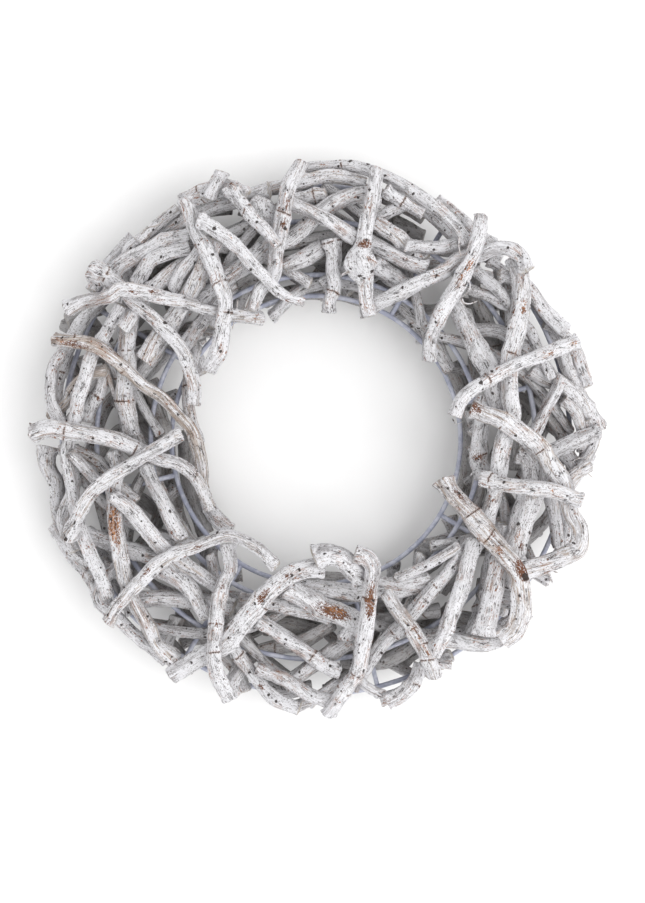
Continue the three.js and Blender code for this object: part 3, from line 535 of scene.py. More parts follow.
class Curve:
    """A centripetal Catmull-Rom curve through plan points, read by its share of arc length."""

    DIVISIONS = 200

    def __init__(self, path: Route) -> None:
        """Prepares the cubic of each stretch and the table of arc lengths.

        Args:
            path: plan points in mm.
        """
        points = np.array(path, float)
        first = 2 * points[0] - points[1]
        last = 2 * points[-1] - points[-2]
        p = np.vstack([first, points, last])
        steps = np.linalg.norm(np.diff(p, axis=0), axis=1) ** 0.5
        d0, d1, d2 = steps[:-2, None], steps[1:-1, None], steps[2:, None]
        a, b, c, d = p[:-3], p[1:-2], p[2:-1], p[3:]
        self.t1 = ((b - a) / d0 - (c - a) / (d0 + d1) + (c - b) / d1) * d1
        self.t2 = ((c - b) / d1 - (d - b) / (d1 + d2) + (d - c) / d2) * d1
        self.start, self.end = b, c
        even = self._at(np.linspace(0, 1, self.DIVISIONS + 1))
        pieces = np.linalg.norm(np.diff(even, axis=0), axis=1)
        self.lengths = np.concatenate([[0], np.cumsum(pieces)])
        self.length = float(self.lengths[-1])

    def _at(self, t: np.ndarray) -> np.ndarray:
        """Points at even shares of the path's stretches.

        Args:
            t: shares between 0 and 1.

        Returns:
            A row for each.
        """
        place = np.clip(t, 0, 1) * len(self.start)
        k = np.minimum(place.astype(int), len(self.start) - 1)
        w = (place - k)[:, None]
        b, c, t1, t2 = self.start[k], self.end[k], self.t1[k], self.t2[k]
        return b + t1 * w + (3 * (c - b) - 2 * t1 - t2) * w**2 + (2 * (b - c) + t1 + t2) * w**3

    def at(self, share: np.ndarray) -> np.ndarray:
        """Plan points at shares of the arc length."""
        t = np.interp(share * self.length, self.lengths, np.linspace(0, 1, self.DIVISIONS + 1))
        return self._at(t)


def hermite(places: np.ndarray, values: np.ndarray, at: np.ndarray) -> np.ndarray:
    """Cubics through (places, values) whose slopes are the differences across each place.

    Args:
        places: rising numbers.
        values: one at each place.
        at: where to read.

    Returns:
        The value at each.
    """
    slopes = np.gradient(values, places)
    k = np.clip(np.searchsorted(places, at, side="right") - 1, 0, len(places) - 2)
    step = places[k + 1] - places[k]
    t = (at - places[k]) / step
    return ((1 + 2 * t) * (1 - t) ** 2 * values[k] + t * (1 - t) ** 2 * step * slopes[k]
            + t * t * (3 - 2 * t) * values[k + 1] - t * t * (1 - t) * step * slopes[k + 1])


@dataclass
class LaidStem:
    """A stem with its heights found: the heights above FRAME_HEIGHT, on its own side, at shares."""

    stem: Stem
    curve: Curve
    shares: np.ndarray
    heights: np.ndarray

    def centreline(self, share: np.ndarray) -> np.ndarray:
        """Smooth centreline: the stations' heights joined by cubics, the plan drawn in by perspective.

        Args:
            share: shares of the length.

        Returns:
            Points in mm, one row for each share.
        """
        z = FRAME_HEIGHT + self.stem.side * hermite(self.shares, self.heights, share)
        return in_space(self.curve.at(share), z, self.stem.side)


def thickness_at(stem: Stem, share: np.ndarray, length: float, reach: float = 0.55,
                 roundness: float = 2.0) -> np.ndarray:
    """Diameter at shares of the length: even steps, with each knob's swelling.

    Args:
        stem: the stem.
        share: shares of its length.
        length: its length in mm.
        reach: how far along the stem a knob fades, in knob diameters.
        roundness: the power in the knob's shape exp(-|away|^roundness), 2 for a bell.

    Returns:
        Diameters in mm.
    """
    diameter = np.interp(share, np.linspace(0, 1, len(stem.thick)), stem.thick)
    for knob_share, knob_diameter in stem.knobs:
        away = (share - knob_share) * length / (reach * knob_diameter)
        diameter = diameter + (knob_diameter - diameter) * np.exp(-np.abs(away) ** roundness)
    return diameter


@dataclass
class Samples:
    """Points along centrelines, every SAMPLE_STEP: the obstacles that later stems lie on."""

    place: np.ndarray
    radius: np.ndarray
    station: np.ndarray
    weight: np.ndarray

    @classmethod
    def along(cls, points: np.ndarray, radii: np.ndarray) -> "Samples":
        """Samples of the straight stretches between stations.

        Args:
            points: a row for each station, in mm.
            radii: the radius at each.

        Returns:
            The samples, first to last.
        """
        stations, weights = [], []
        for k in range(len(points) - 1):
            steps = max(1, math.ceil(np.linalg.norm(points[k + 1] - points[k]) / SAMPLE_STEP))
            new = np.arange(0 if k == 0 else 1, steps + 1) / steps
            stations.append(np.full(len(new), k))
            weights.append(new)
        k, w = np.concatenate(stations), np.concatenate(weights)
        place = points[k] + (points[k + 1] - points[k]) * w[:, None]
        return cls(place, radii[k] + (radii[k + 1] - radii[k]) * w, k, w)


@dataclass
class Laying:
    """Lays stems one after another, each on the wires and stems that are already there."""

    ROUNDS = 3  # of drawing the route in by the heights found
    LIFTS = 40  # passes at most that raise the stations where they are short
    KNOB_SIDES = (-0.6, 0, 0.6)  # knob diameters from its middle, where it has stations
    CLOSEST = 3  # mm between stations

    place: np.ndarray = field(default_factory=lambda: np.zeros((0, 3)))
    radius: np.ndarray = field(default_factory=lambda: np.zeros(0))
    owner: np.ndarray = field(default_factory=lambda: np.zeros(0, int))

    def add(self, samples: Samples, owner: int) -> None:
        """Adds samples as obstacles.

        Args:
            samples: what later stems lie on.
            owner: tells the bunch and side they belong to, 0 for none.
        """
        self.place = np.vstack([self.place, samples.place])
        self.radius = np.concatenate([self.radius, samples.radius])
        self.owner = np.concatenate([self.owner, np.full(len(samples.radius), owner)])

    def near(self, seen: np.ndarray, reach: float) -> np.ndarray:
        """Which obstacles lie within reach of a route, by the box round it."""
        low, high = seen.min(0) - reach, seen.max(0) + reach
        return np.all((self.place[:, :2] > low) & (self.place[:, :2] < high), axis=1)

    def lay(self, stem: Stem) -> LaidStem:
        """Finds the heights of a stem's stations and adds the stem to the obstacles.

        Args:
            stem: the stem.

        Returns:
            The stem with its heights.
        """
        curve = Curve(stem.path)
        shares = self._stations(stem, curve.length)
        radii = thickness_at(stem, shares, curve.length) / 2
        seen = curve.at(shares)
        owner = 0 if stem.bunch is None else stem.side * (stem.bunch + 1)
        near = self.near(seen, reach=45)
        heights = np.full(len(shares), float(PLAN_LEVEL - FRAME_HEIGHT))
        for _ in range(self.ROUNDS):
            points = in_space(seen, FRAME_HEIGHT + stem.side * heights, stem.side)
            samples = Samples.along(points, radii)
            needs = self._needs(samples, stem, owner, near)
            heights = self._resting(shares, curve.length, samples, needs)
            points[:, 2] = FRAME_HEIGHT + stem.side * heights
        self.add(Samples.along(points, radii), owner)
        return LaidStem(stem, curve, shares, heights)

    def _stations(self, stem: Stem, length: float) -> np.ndarray:
        """Shares of the length with a station: even steps, and each knob's middle and sides.

        Args:
            stem: the stem.
            length: its length in mm.

        Returns:
            Rising shares.
        """
        steps = max(2, math.floor(length / STATION_STEP + 0.5))
        shares = [k / steps for k in range(steps + 1)]
        for knob_share, diameter in stem.knobs:
            shares += [knob_share + offset * diameter / length for offset in self.KNOB_SIDES]
        kept: list[float] = []
        for share in sorted(value for value in shares if 0 <= value <= 1):
            if not kept or (share - kept[-1]) * length > self.CLOSEST:
                kept.append(share)
        kept[-1] = 1
        return np.array(kept, float)

    def _needs(self, samples: Samples, stem: Stem, owner: int, near: np.ndarray) -> np.ndarray:
        """Least height of each sample: over an obstacle at plan distance d, h + sqrt(reach^2 - d^2).

        Args:
            samples: points of the stem.
            stem: the stem.
            owner: its own number.
            near: which obstacles count.

        Returns:
            Heights in mm from the frame.
        """
        place, radius, other = self.place[near], self.radius[near], self.owner[near]
        gap = np.where((other == owner) & (owner != 0), -SINK, CLEARANCE) - stem.bed
        reach = samples.radius[:, None] + radius[None, :] + gap[None, :]
        apart = ((samples.place[:, None, :2] - place[None, :, :2]) ** 2).sum(2)
        room = reach * reach - apart
        over = stem.side * (place[None, :, 2] - FRAME_HEIGHT) + np.sqrt(np.maximum(room, 0))
        return np.maximum(np.where(room > 0, over, LOWEST).max(1, initial=LOWEST), LOWEST)

    def _resting(self, shares: np.ndarray, length: float, samples: Samples,
                 needs: np.ndarray) -> np.ndarray:
        """Heights of the stations: the bend-limited cover over the needs, then raised where short.

        Args:
            shares: where the stations are.
            length: the stem's length in mm.
            samples: points of the stem.
            needs: the least height of each.

        Returns:
            Heights in mm from the frame.
        """
        k, w = samples.station, samples.weight
        along = length * (shares[k] + (shares[k + 1] - shares[k]) * w)
        away = along[None, :] - (shares * length)[:, None]
        heights = (needs[None, :] - away**2 / (2 * BEND_RADIUS)).max(1).tolist()
        rows = list(zip(k.tolist(), w.tolist(), needs.tolist()))
        for _ in range(self.LIFTS):
            raised = False
            for station, weight, need in rows:
                short = need - heights[station] * (1 - weight) - heights[station + 1] * weight
                if short > 0:
                    raised = True
                    share = (1 - weight) ** 2 + weight**2
                    heights[station] += short * (1 - weight) / share
                    heights[station + 1] += short * weight / share
            if not raised:
                break
        found = np.array(heights)
        spare = (found[k] * (1 - w) + found[k + 1] * w - needs).min()
        return found - spare


class SeededDraw:
    """The same numbers between 0 and 1 on every run."""

    FACTOR, STEP, SPAN = 1664525, 1013904223, 4294967296

    def __init__(self, seed: int) -> None:
        """Starts the row of numbers at seed."""
        self.state = seed

    def __call__(self) -> float:
        """The next number."""
        self.state = (self.state * self.FACTOR + self.STEP) % self.SPAN
        return self.state / self.SPAN

    def within(self, least: float, span: float) -> float:
        """The next number, between least and least + span."""
        return least + span * self()


def core_stems(side: int) -> list[Stem]:
    """Two stems crossed like an X in each sector, which the bunch of that sector is built on.

    Args:
        side: 1 in front, -1 behind.

    Returns:
        The stems, sector by sector.
    """
    span = 360 / SECTORS
    stems = []
    for sector in range(SECTORS):
        for lean in (1, -1):
            path = tuple(polar((sector + share) * span, CORE_RADIUS + lean * CORE_SPREAD * (2 * share - 1))
                         for share in CORE_SHARES)
            stems.append(Stem("core", (CORE_THICKNESS,), path, bunch=sector, side=side))
    return stems


@dataclass(frozen=True)
class BackStems:
    """Stems of the hidden side: each drifts from the inner rim to the outer one, leaning either way.

    Each range is a least value and a span, in degrees or mm. The radius grows from the inner to the
    outer end with share^drift, and each route point lies wave mm in or out of it in turn.
    """

    count: int
    jitter: float  # degrees between the earliest and latest place of a start
    turn: Range
    inner: Range
    outer: Range
    thick: Range
    fused: bool
    taper: float = 1.5
    drift: float = 1.2
    wave: float = 2.5

    def stems(self, draw: SeededDraw) -> list[Stem]:
        """The stems, evenly round the ring."""
        return [self._stem(k, draw) for k in range(self.count)]

    def _stem(self, k: int, draw: SeededDraw) -> Stem:
        """Stem number k.

        Args:
            k: its number.
            draw: gives its turn, reach and thickness.

        Returns:
            The stem.
        """
        start = 360 * k / self.count + self.jitter * (draw() - 0.5)
        turn = (1 if k % 2 else -1) * draw.within(*self.turn)
        inner, outer, thick = draw.within(*self.inner), draw.within(*self.outer), draw.within(*self.thick)
        bunch = math.floor((start + turn / 2) % 360 / (360 / SECTORS)) if self.fused else None
        path = tuple(
            polar(start + turn * share,
                  inner + (outer - inner) * share**self.drift + (self.wave if n % 2 else -self.wave))
            for n, share in enumerate((0, 0.2, 0.4, 0.6, 0.8, 1)))
        return Stem("back", (thick, thick - self.taper), path, bunch=bunch, side=-1)


def back_stems() -> list[Stem]:
    """The stems of the hidden side: those fused to bunches, then the separate ones.

    Returns:
        All 32 stems.
    """
    draw = SeededDraw(1)
    fused = BackStems(24, jitter=8, turn=(22, 16), inner=(106, 12), outer=(168, 16), thick=(7.5, 3),
                      fused=True)
    alone = BackStems(8, jitter=10, turn=(48, 14), inner=(107, 8), outer=(180, 10), thick=(8.5, 3),
                      fused=False)
    return fused.stems(draw) + alone.stems(draw)


@dataclass
class Weaving:
    """Threads fill stems between the stems that are already laid.

    Along each stem the height is chosen, from a ladder of levels, that makes the least sum of three
    costs: depth inside other stems squared, distance from the wanted height squared, and the
    slope squared. The best row of levels is found from one end to the other, then smoothed.
    """

    laying: Laying
    step: float = 5.0
    levels: Range = (8.0, 84.0)  # mm above the ground, a level each mm
    slope: int = 2  # levels from one station to the next at most
    slope_cost: float = 0.8
    level_cost: float = 0.02
    slack: float = 0.8  # mm that stems may share at no cost
    smoothing: int = 4  # passes

    def weave(self, stem: Stem, level: float) -> LaidStem:
        """Finds the heights of a fill stem and adds it to the obstacles.

        Args:
            stem: the stem.
            level: the wanted height of its middle above the ground, in mm.

        Returns:
            The laid stem.
        """
        curve = Curve(stem.path)
        shares = np.linspace(0, 1, max(5, round(curve.length / self.step) + 1))
        radii = thickness_at(stem, shares, curve.length) / 2
        seen = curve.at(shares)
        ladder = np.arange(*self.levels)
        cost = self.level_cost * (ladder - level)[None, :] ** 2 + self._depths(seen, radii, ladder)
        z = ladder[self._best_row(cost)]
        for _ in range(self.smoothing):
            inner = 0.25 * z[:-2] + 0.5 * z[1:-1] + 0.25 * z[2:]
            z = np.concatenate([z[:1], inner, z[-1:]])
        self.laying.add(Samples.along(in_space(seen, z), radii), 0)
        return LaidStem(stem, curve, shares, z - FRAME_HEIGHT)

    def _depths(self, seen: np.ndarray, radii: np.ndarray, ladder: np.ndarray) -> np.ndarray:
        """Squared depth inside the other stems, at each station and level.

        Args:
            seen: plan points of the stations.
            radii: the radius at each.
            ladder: the levels' heights in mm.

        Returns:
            A row for each station.
        """
        near = self.laying.near(seen, reach=25)
        place, radius = self.laying.place[near], self.laying.radius[near]
        rows = []
        for point, own in zip(seen, radii):
            flat = point[None, :] * shrink(ladder)[:, None]
            apart = np.sqrt(((flat[:, None, :] - place[None, :, :2]) ** 2).sum(2)
                            + (ladder[:, None] - place[None, :, 2]) ** 2)
            depth = np.maximum(own + radius[None, :] - self.slack - apart, 0)
            rows.append((depth**2).sum(1))
        return np.array(rows)

    def _best_row(self, cost: np.ndarray) -> np.ndarray:
        """The level of each station on the cheapest way from the first station to the last.

        Args:
            cost: of each station and level.

        Returns:
            A level for each station.
        """
        count, levels = cost.shape
        steps = range(-self.slope, self.slope + 1)
        total = cost[0]
        came = np.zeros(cost.shape, int)
        for row in range(1, count):
            ways = np.full((len(steps), levels), np.inf)
            for number, step in enumerate(steps):
                source = np.arange(levels) - step
                valid = (source >= 0) & (source < levels)
                ways[number, valid] = total[source[valid]] + self.slope_cost * step * step
            choice = ways.argmin(0)
            came[row] = np.arange(levels) - (choice - self.slope)
            total = cost[row] + ways.min(0)
        best = [int(total.argmin())]
        for row in range(count - 1, 0, -1):
            best.append(int(came[row, best[-1]]))
        return np.array(best[::-1])


def fill_stems() -> list[tuple[Stem, float]]:
    """The fill stems with the heights that they want, each in the bunch of the sector it lies in.

    Returns:
        Each stem with its height in mm.
    """
    found = []
    for thick, level, pixels in FILL_STEMS:
        path = plan_path(pixels)
        middle = path[len(path) // 2]
        sector = int(math.degrees(math.atan2(middle[1], middle[0])) % 360 / (360 / SECTORS))
        # a fill stem named low is darkened with painted shade
        name = "low" if level <= SHADED_FILL_LEVEL else "fill"
        found.append((Stem(name, (thick, thick - 1), path, bunch=sector), level))
    return found


READ_BY_FINISH = ("grain", "dress", "state", "age")  # attributes of every mesh


@dataclass
class Surface:
    """A mesh in the making: points in mm, triangles, and what the finishes read at each point.

    Args:
        points: corners.
        triangles: corner numbers.
        grain: mm round and along the stem, which its patterns follow.
        dress: how much brown bark, orange wood and bud scar shows.
        state: whether it is a sawn end, how far it is free of the painted shade deep in the ring, how deep it
            lies in a groove.
        age: mm from the nearest cracked joint, how far it has weathered, and how far it faces up.
    """

    points: np.ndarray
    triangles: np.ndarray
    grain: np.ndarray
    dress: np.ndarray
    state: np.ndarray
    age: np.ndarray

    @classmethod
    def joined(cls, parts: list["Surface"]) -> "Surface":
        """Several surfaces as one.

        Args:
            parts: the surfaces.

        Returns:
            One surface.
        """
        starts = np.cumsum([0] + [len(part.points) for part in parts[:-1]])
        return cls(
            np.vstack([part.points for part in parts]),
            np.vstack([part.triangles + start for part, start in zip(parts, starts)]),
            *(np.vstack([getattr(part, name) for part in parts]) for name in READ_BY_FINISH),
        )

    def put_in(self, name: str, middle: np.ndarray, material: bpy.types.Material) -> bpy.types.Object:
        """Makes the piece's object, in metres.

        Args:
            name: the piece's name.
            middle: the ring's middle in mm, which is added to the points.
            material: the finish.

        Returns:
            The object, at the origin.
        """
        points = (self.points + np.array([middle[0], middle[1], 0.0])) * MM
        points[:, 2] = np.maximum(points[:, 2], 0.0)
        mesh = bpy.data.meshes.new(name)
        mesh.vertices.add(len(points))
        mesh.vertices.foreach_set("co", points.astype(np.float32).ravel())
        mesh.loops.add(self.triangles.size)
        mesh.loops.foreach_set("vertex_index", self.triangles.astype(np.int32).ravel())
        mesh.polygons.add(len(self.triangles))
        mesh.polygons.foreach_set("loop_start", np.arange(0, self.triangles.size, 3, dtype=np.int32))
        for title in READ_BY_FINISH:
            attribute = mesh.attributes.new(title, "FLOAT_VECTOR", "POINT")
            attribute.data.foreach_set("vector", getattr(self, title).astype(np.float32).ravel())
        mesh.update(calc_edges=True)
        mesh.validate()
        mesh.shade_smooth()
        mesh.materials.append(material)
        piece = bpy.data.objects.new(name, mesh)
        bpy.context.scene.collection.objects.link(piece)
        return piece


def grid_triangles(rings: int, around: int, closed: bool) -> np.ndarray:
    """Triangles of a tube's grid, faces outward.

    Args:
        rings, around: size of the grid.
        closed: whether the last ring joins the first.

    Returns:
        Rows of three corners.
    """
    k = np.arange(rings if closed else rings - 1)[:, None]
    j = np.arange(around)[None, :]
    a = k * around + j
    b = k * around + (j + 1) % around
    c = (k + 1) % rings * around + (j + 1) % around
    d = (k + 1) % rings * around + j
    return np.vstack([np.stack([a, c, b], -1).reshape(-1, 3), np.stack([a, d, c], -1).reshape(-1, 3)])


def closed_tube(points: np.ndarray, *read: np.ndarray) -> Surface:
    """Flattens a tube's grid and closes both ends with a fan to the middle of the end ring.

    Args:
        points: the corners, by ring and place round it.
        read: what the finishes read there, in READ_BY_FINISH's order.

    Returns:
        A closed surface.
    """
    rings, around = points.shape[:2]
    triangles = [grid_triangles(rings, around, False)]
    ends = [0, rings - 1]
    j = np.arange(around)
    for number, ring in enumerate(ends):
        hub = np.full(around, rings * around + number)
        rim, after = ring * around + j, ring * around + (j + 1) % around
        triangles.append(np.column_stack([hub, rim, after] if number == 0 else [hub, after, rim]))
    whole = [np.vstack([values.reshape(rings * around, -1), values[ends].reshape(2, around, -1).mean(1)])
             for values in (points, *read)]
    return Surface(whole[0], np.vstack(triangles), *whole[1:])


def frames(centre: np.ndarray, closed: bool = False) -> tuple[np.ndarray, np.ndarray]:
    """Up and across directions of each ring: up is square to the tangent and leans to +Z.

    Args:
        centre: the middle of each ring.
        closed: whether the last joins the first.

    Returns:
        Unit vectors, a row for each ring.
    """
    if closed:
        tangent = np.roll(centre, -1, 0) - np.roll(centre, 1, 0)
    else:
        tangent = np.gradient(centre, axis=0)
    tangent /= np.linalg.norm(tangent, axis=1, keepdims=True)
    across = np.cross([0.0, 0.0, 1.0], tangent)
    across /= np.linalg.norm(across, axis=1, keepdims=True)
    return np.cross(tangent, across), across


def round_tube(centre: np.ndarray, turn: np.ndarray, radius: np.ndarray, closed: bool = False) -> np.ndarray:
    """Corners of a round tube: centre + up * r cos(a) + across * r sin(a).

    Args:
        centre: the middle of each ring.
        turn: angles round it.
        radius: in mm, a row for each ring.
        closed: whether the last ring joins the first.

    Returns:
        The corners, by ring and place round it.
    """
    up, across = frames(centre, closed)
    return (centre[:, None, :] + up[:, None, :] * (np.cos(turn) * radius)[:, :, None]
            + across[:, None, :] * (np.sin(turn) * radius)[:, :, None])


@dataclass
class BarkGrid:
    """One stem's skin as rings along it and places round it, while its relief is worked out.

    Args:
        laid: the stem.
        rng: draws the stem's own marks.
        s: mm along the stem, a row for each ring.
        turn: angles round the stem from its top, a column for each place.
        r: radius in mm, a row for each ring.
        phase: sets the stem's noise apart from the others'.
        twist: turn, turned further along the stem as its ridges are.
    """

    laid: LaidStem
    rng: np.random.Generator
    s: np.ndarray
    turn: np.ndarray
    r: np.ndarray
    phase: float
    twist: np.ndarray
    gx: np.ndarray = field(init=False)
    gy: np.ndarray = field(init=False)
    dress: np.ndarray = field(init=False)
    marks: list[Mark] = field(init=False)

    def __post_init__(self) -> None:
        """Finds the place of each point round the stem in mm, and the stem's marks."""
        self.gx, self.gy = np.cos(self.twist) * self.r, np.sin(self.twist) * self.r
        self.dress = np.zeros((len(self.s), self.turn.size, 3))
        self.marks = marks_of(self.laid.stem)

    @property
    def length(self) -> float:
        """The stem's length in mm."""
        return self.laid.curve.length

    def along(self, mark: Mark) -> tuple[float, float]:
        """Where a mark lies: mm along the stem, and mm to the side of its middle as seen from above.

        Args:
            mark: the mark.

        Returns:
            The two places in mm.
        """
        share = np.linspace(0, 1, 400)
        seen = self.laid.curve.at(share)
        target = plan_point(mark.x, mark.y)
        k = int(np.argmin(((seen - target) ** 2).sum(1)))
        ahead = seen[min(k + 1, len(share) - 1)] - seen[max(k - 1, 0)]
        ahead /= np.linalg.norm(ahead)
        offset = target - seen[k]
        return float(share[k] * self.length), float(ahead[0] * offset[1] - ahead[1] * offset[0])


@dataclass(frozen=True)
class Layer:
    """A layer of noise in the bark: its height as a share of the radius, its size across and along."""

    height: float
    across: float
    along: float


@dataclass
class BarkSkin:
    """Wraps bark round a laid stem.

    The surface is centre + up * r cos(a) + across * r sin(a), with r the stem's radius times one
    plus relief: broad lumps, lengthwise ridges, joints that swell with a groove at their middle,
    bud scars, and ends sawn a little askew. Lengths are in mm, and relief is a share of the radius.
    """

    LIPS = ((0.0, 0.3), (0.0, 0.62), (0.0, 0.86), (0.25, 0.95), (0.9, 1.0))  # mm in, share of the radius
    SAWN = 0.95  # share of the radius below which a ring is on the sawn face
    INSET = 1.8  # from the end to the first ring past the lips
    PHASE = 37.0  # between one stem's noise and the next's
    LUMP = Layer(0.075, 7, 13)
    SMALL = Layer(0.045, 2.6, 5)
    RIDGE = Layer(0.075, 2.3, 30)  # across: lattice steps from the middle
    FINE = Layer(0.045, 4.2, 9)  # across: lattice steps from the middle
    WAVE = Layer(0.06, 0, 21)
    FACET = Layer(0.05, 0, 60)
    GROOVE = 0.16  # relief below the surface of a full groove
    TWIST = (-0.02, 0.02)  # radians a mm
    WEAR = (0.5, 0.3)  # a stem of no note has weathered by a draw times the first, less the second
    SWAY = (12, 19)  # mm over which it fades at the ends, mm from one bend to the next
    SAW_SLOPE = (0.1, 0.5)  # mm along for a mm of radius
    SAW_ASKEW, SAW_LONG = 0.6, 0.3  # how far a cut leans and how far it stands out
    END = (3.5, 8.0)  # mm over which an end swells and breaks up
    END_FLARE, END_TORN, END_BROWN = (-0.3, 1.0), (0.14, 0.42), (0.1, 0.55)  # how strong each is
    END_BROWN_REACH = 3.0  # mm
    TEAR = (2.2, 2.5)  # mm across and along a torn place
    JOINT_START = (12, 50)  # mm from the first end to the first joint that no mark gives
    JOINT_GAP = 18  # least mm between joints
    JOINT_STRENGTH, JOINT_SKEW = (0.5, 1.2), (-0.5, 0.5)  # skew as a share of the radius
    SWELLING, CLEFT, CLEFT_DEPTH = 2.6, 0.9, 0.6  # mm, mm, share of the swelling
    STEP_LENGTH = 1.5  # mm over which the radius steps
    BUD = (0.5, 2.2)  # radians round and mm along that a bud reaches
    BUD_PLACE, BUD_HEIGHT, BUD_BROWN = 1.5, 0.16, 0.35  # mm past the joint, relief, how brown
    BURL_REACH = 0.75  # of the mark's size along
    KNOB_REACH, KNOB_HEIGHT, KNOB_GRAIN = 0.7, 0.18, 3.4  # of its diameter, relief, mm
    SCATTERED = (PIT, PIT, BROWN, ORANGE)  # what an unmarked place may bear
    SCATTER_START, SCATTER_SIDE, SCATTER_STRENGTH = (4, 40), (-4, 4), (0.4, 0.8)  # mm, mm, share
    SCATTER_SIZE = ((2, 5), (0.8, 2))  # mm along and across
    PIT_SIZE = (1.1, 1.1)
    PIT_SHARE = 0.5  # a bud scar's size next to its mark's

    around: int = 28
    step: float = 1.5
    width: float = 1.0  # across and up, next to the solid stem's corner to corner width
    height: float = 0.97
    flare: float = 0.2  # how far a rough end swells
    knob_shape: Range = (0.62, 3.2)  # reach and roundness
    core_height: float = 34.0  # the painted shade is darkest at this height, the middle of the ring's section
    section: Range = (56.0, 36.0)  # half the section's width and height
    dry: Range = (0.3, 0.9)  # shares of the section between which the painted shade fades out
    low_fill_unshaded_share: float = 0.2  # of the unshaded share that a low fill stem keeps, so that it takes more painted shade
    joint_swell: float = 0.13
    joint_step: float = 0.04  # how much a stem's radius steps at each joint
    cracked_share: float = 0.3  # of the joints, besides those marked
    joint_gap: Range = (34.0, 80.0)
    scar_gap: Range = (18.0, 50.0)
    wander: float = 0.45
    seed: int = 5
    noise: SmoothNoise = field(init=False)

    def __post_init__(self) -> None:
        """Prepares the noise."""
        self.noise = SmoothNoise(self.seed)

    def wrap(self, laid: LaidStem, number: int) -> Surface:
        """The skin of one stem.

        Args:
            laid: the stem.
            number: its place in the laying order, which seeds its own marks.

        Returns:
            A closed surface.
        """
        rng = np.random.default_rng(self.seed + 100 * number)
        along, factor = self._profile(laid.curve.length)
        share = np.clip(along / laid.curve.length, 0, 1)
        centre = laid.centreline(share)
        up, across = self._directions(laid, share)
        turn = around_steps(self.around)
        s = along[:, None]
        r = (thickness_at(laid.stem, share, laid.curve.length, *self.knob_shape) / 2)[:, None]
        grid = BarkGrid(laid, rng, s, turn, r, self.PHASE * number, turn + rng.uniform(*self.TWIST) * s)
        relief = self._bark(grid) + self._rough_ends(grid)
        joints, from_joint = self._joints(grid)
        relief = relief + joints
        relief = relief + self._knob_lumps(grid) + self._burls(grid)
        self._patches(grid)
        part = factor[:, None]
        shape = part * (1 + relief)
        lean = self._saw(grid) * part
        sway = self._sway(along, laid.curve.length, number)
        broad = self.width * FULLER.get(laid.stem.name, 1.0)
        points = (centre[:, None, :]
                  + (up * sway[:, :1] + across * sway[:, 1:])[:, None, :]
                  + up[:, None, :] * (np.cos(turn) * r * shape * self.height)[:, :, None]
                  + across[:, None, :] * (np.sin(turn) * r * shape * broad)[:, :, None]
                  + np.cross(across, up)[:, None, :] * lean[:, :, None])
        grain = np.stack([grid.gx * part + grid.phase, grid.gy * part, s + 0 * turn + grid.phase], -1)
        state = np.stack([(part < self.SAWN) + 0 * turn, self._unshaded_share(points, laid.stem),
                          np.clip(-relief / self.GROOVE, 0, 1)], -1)
        weathered = WEATHERED.get(laid.stem.name, max(0.0, self.WEAR[0] * rng.uniform() - self.WEAR[1]))
        age = np.stack([from_joint, weathered + 0 * from_joint, np.cos(turn) * laid.stem.side + 0 * s], -1)
        return closed_tube(points, grain, np.clip(grid.dress, 0, 1.1), state, age)

    def _profile(self, length: float) -> tuple[np.ndarray, np.ndarray]:
        """Places of the rings along the stem and the share of the radius that each has.

        Args:
            length: the stem's length in mm.

        Returns:
            Both, a number for each ring.
        """
        place, part = np.array(self.LIPS).T
        inner = np.linspace(self.INSET, length - self.INSET, max(4, round(length / self.step)))
        along = np.concatenate([place, inner, length - place[::-1]])
        return along, np.concatenate([part, np.ones(len(inner)), part[::-1]])

    @staticmethod
    def _directions(laid: LaidStem, share: np.ndarray) -> tuple[np.ndarray, np.ndarray]:
        """Up and across directions at shares of the length, read from even steps along it.

        Args:
            laid: the stem.
            share: shares of its length.

        Returns:
            Unit vectors, a row for each share.
        """
        even = np.linspace(0, 1, len(share))
        up, across = (np.column_stack([np.interp(share, even, rows[:, axis]) for axis in range(3)])
                      for rows in frames(laid.centreline(even)))
        return up, across

    def _bark(self, grid: BarkGrid) -> np.ndarray:
        """Relief of the bark itself: lumps, ridges, a wave along the stem, and 3 and 5 blunt corners.

        Args:
            grid: the stem's skin.

        Returns:
            Shares of the radius.
        """
        relief = (self.LUMP.height * self._lumps(grid, self.LUMP, 0)
                  + self.RIDGE.height * (0.6 - 2 * np.abs(self._ridges(grid, self.RIDGE, grid.phase, 0)))
                  + self.SMALL.height * self._lumps(grid, self.SMALL, 9)
                  + self.FINE.height * self._ridges(grid, self.FINE, 0, grid.phase))
        flat = 0 * grid.s
        relief = relief + self.WAVE.height * self.noise(grid.s / self.WAVE.along + grid.phase, flat, flat + 3)
        facing = 2 * self.noise(grid.s / self.FACET.along + grid.phase, flat + 7, flat)
        for corners, sign in ((3, 1), (5, -1)):
            relief = relief + self.FACET.height * np.cos(corners * grid.twist + sign * facing)
        return relief

    def _lumps(self, grid: BarkGrid, layer: Layer, shift: float) -> np.ndarray:
        """Noise at the points of the stem's surface."""
        return self.noise(grid.gx / layer.across + grid.phase, grid.gy / layer.across + shift,
                          grid.s / layer.along)

    def _ridges(self, grid: BarkGrid, layer: Layer, x: float, y: float) -> np.ndarray:
        """Noise that is the same round the stem wherever it is thick or thin, shifted by x and y."""
        return self.noise(np.cos(grid.twist) * layer.across + x, np.sin(grid.twist) * layer.across + y,
                          grid.s / layer.along)

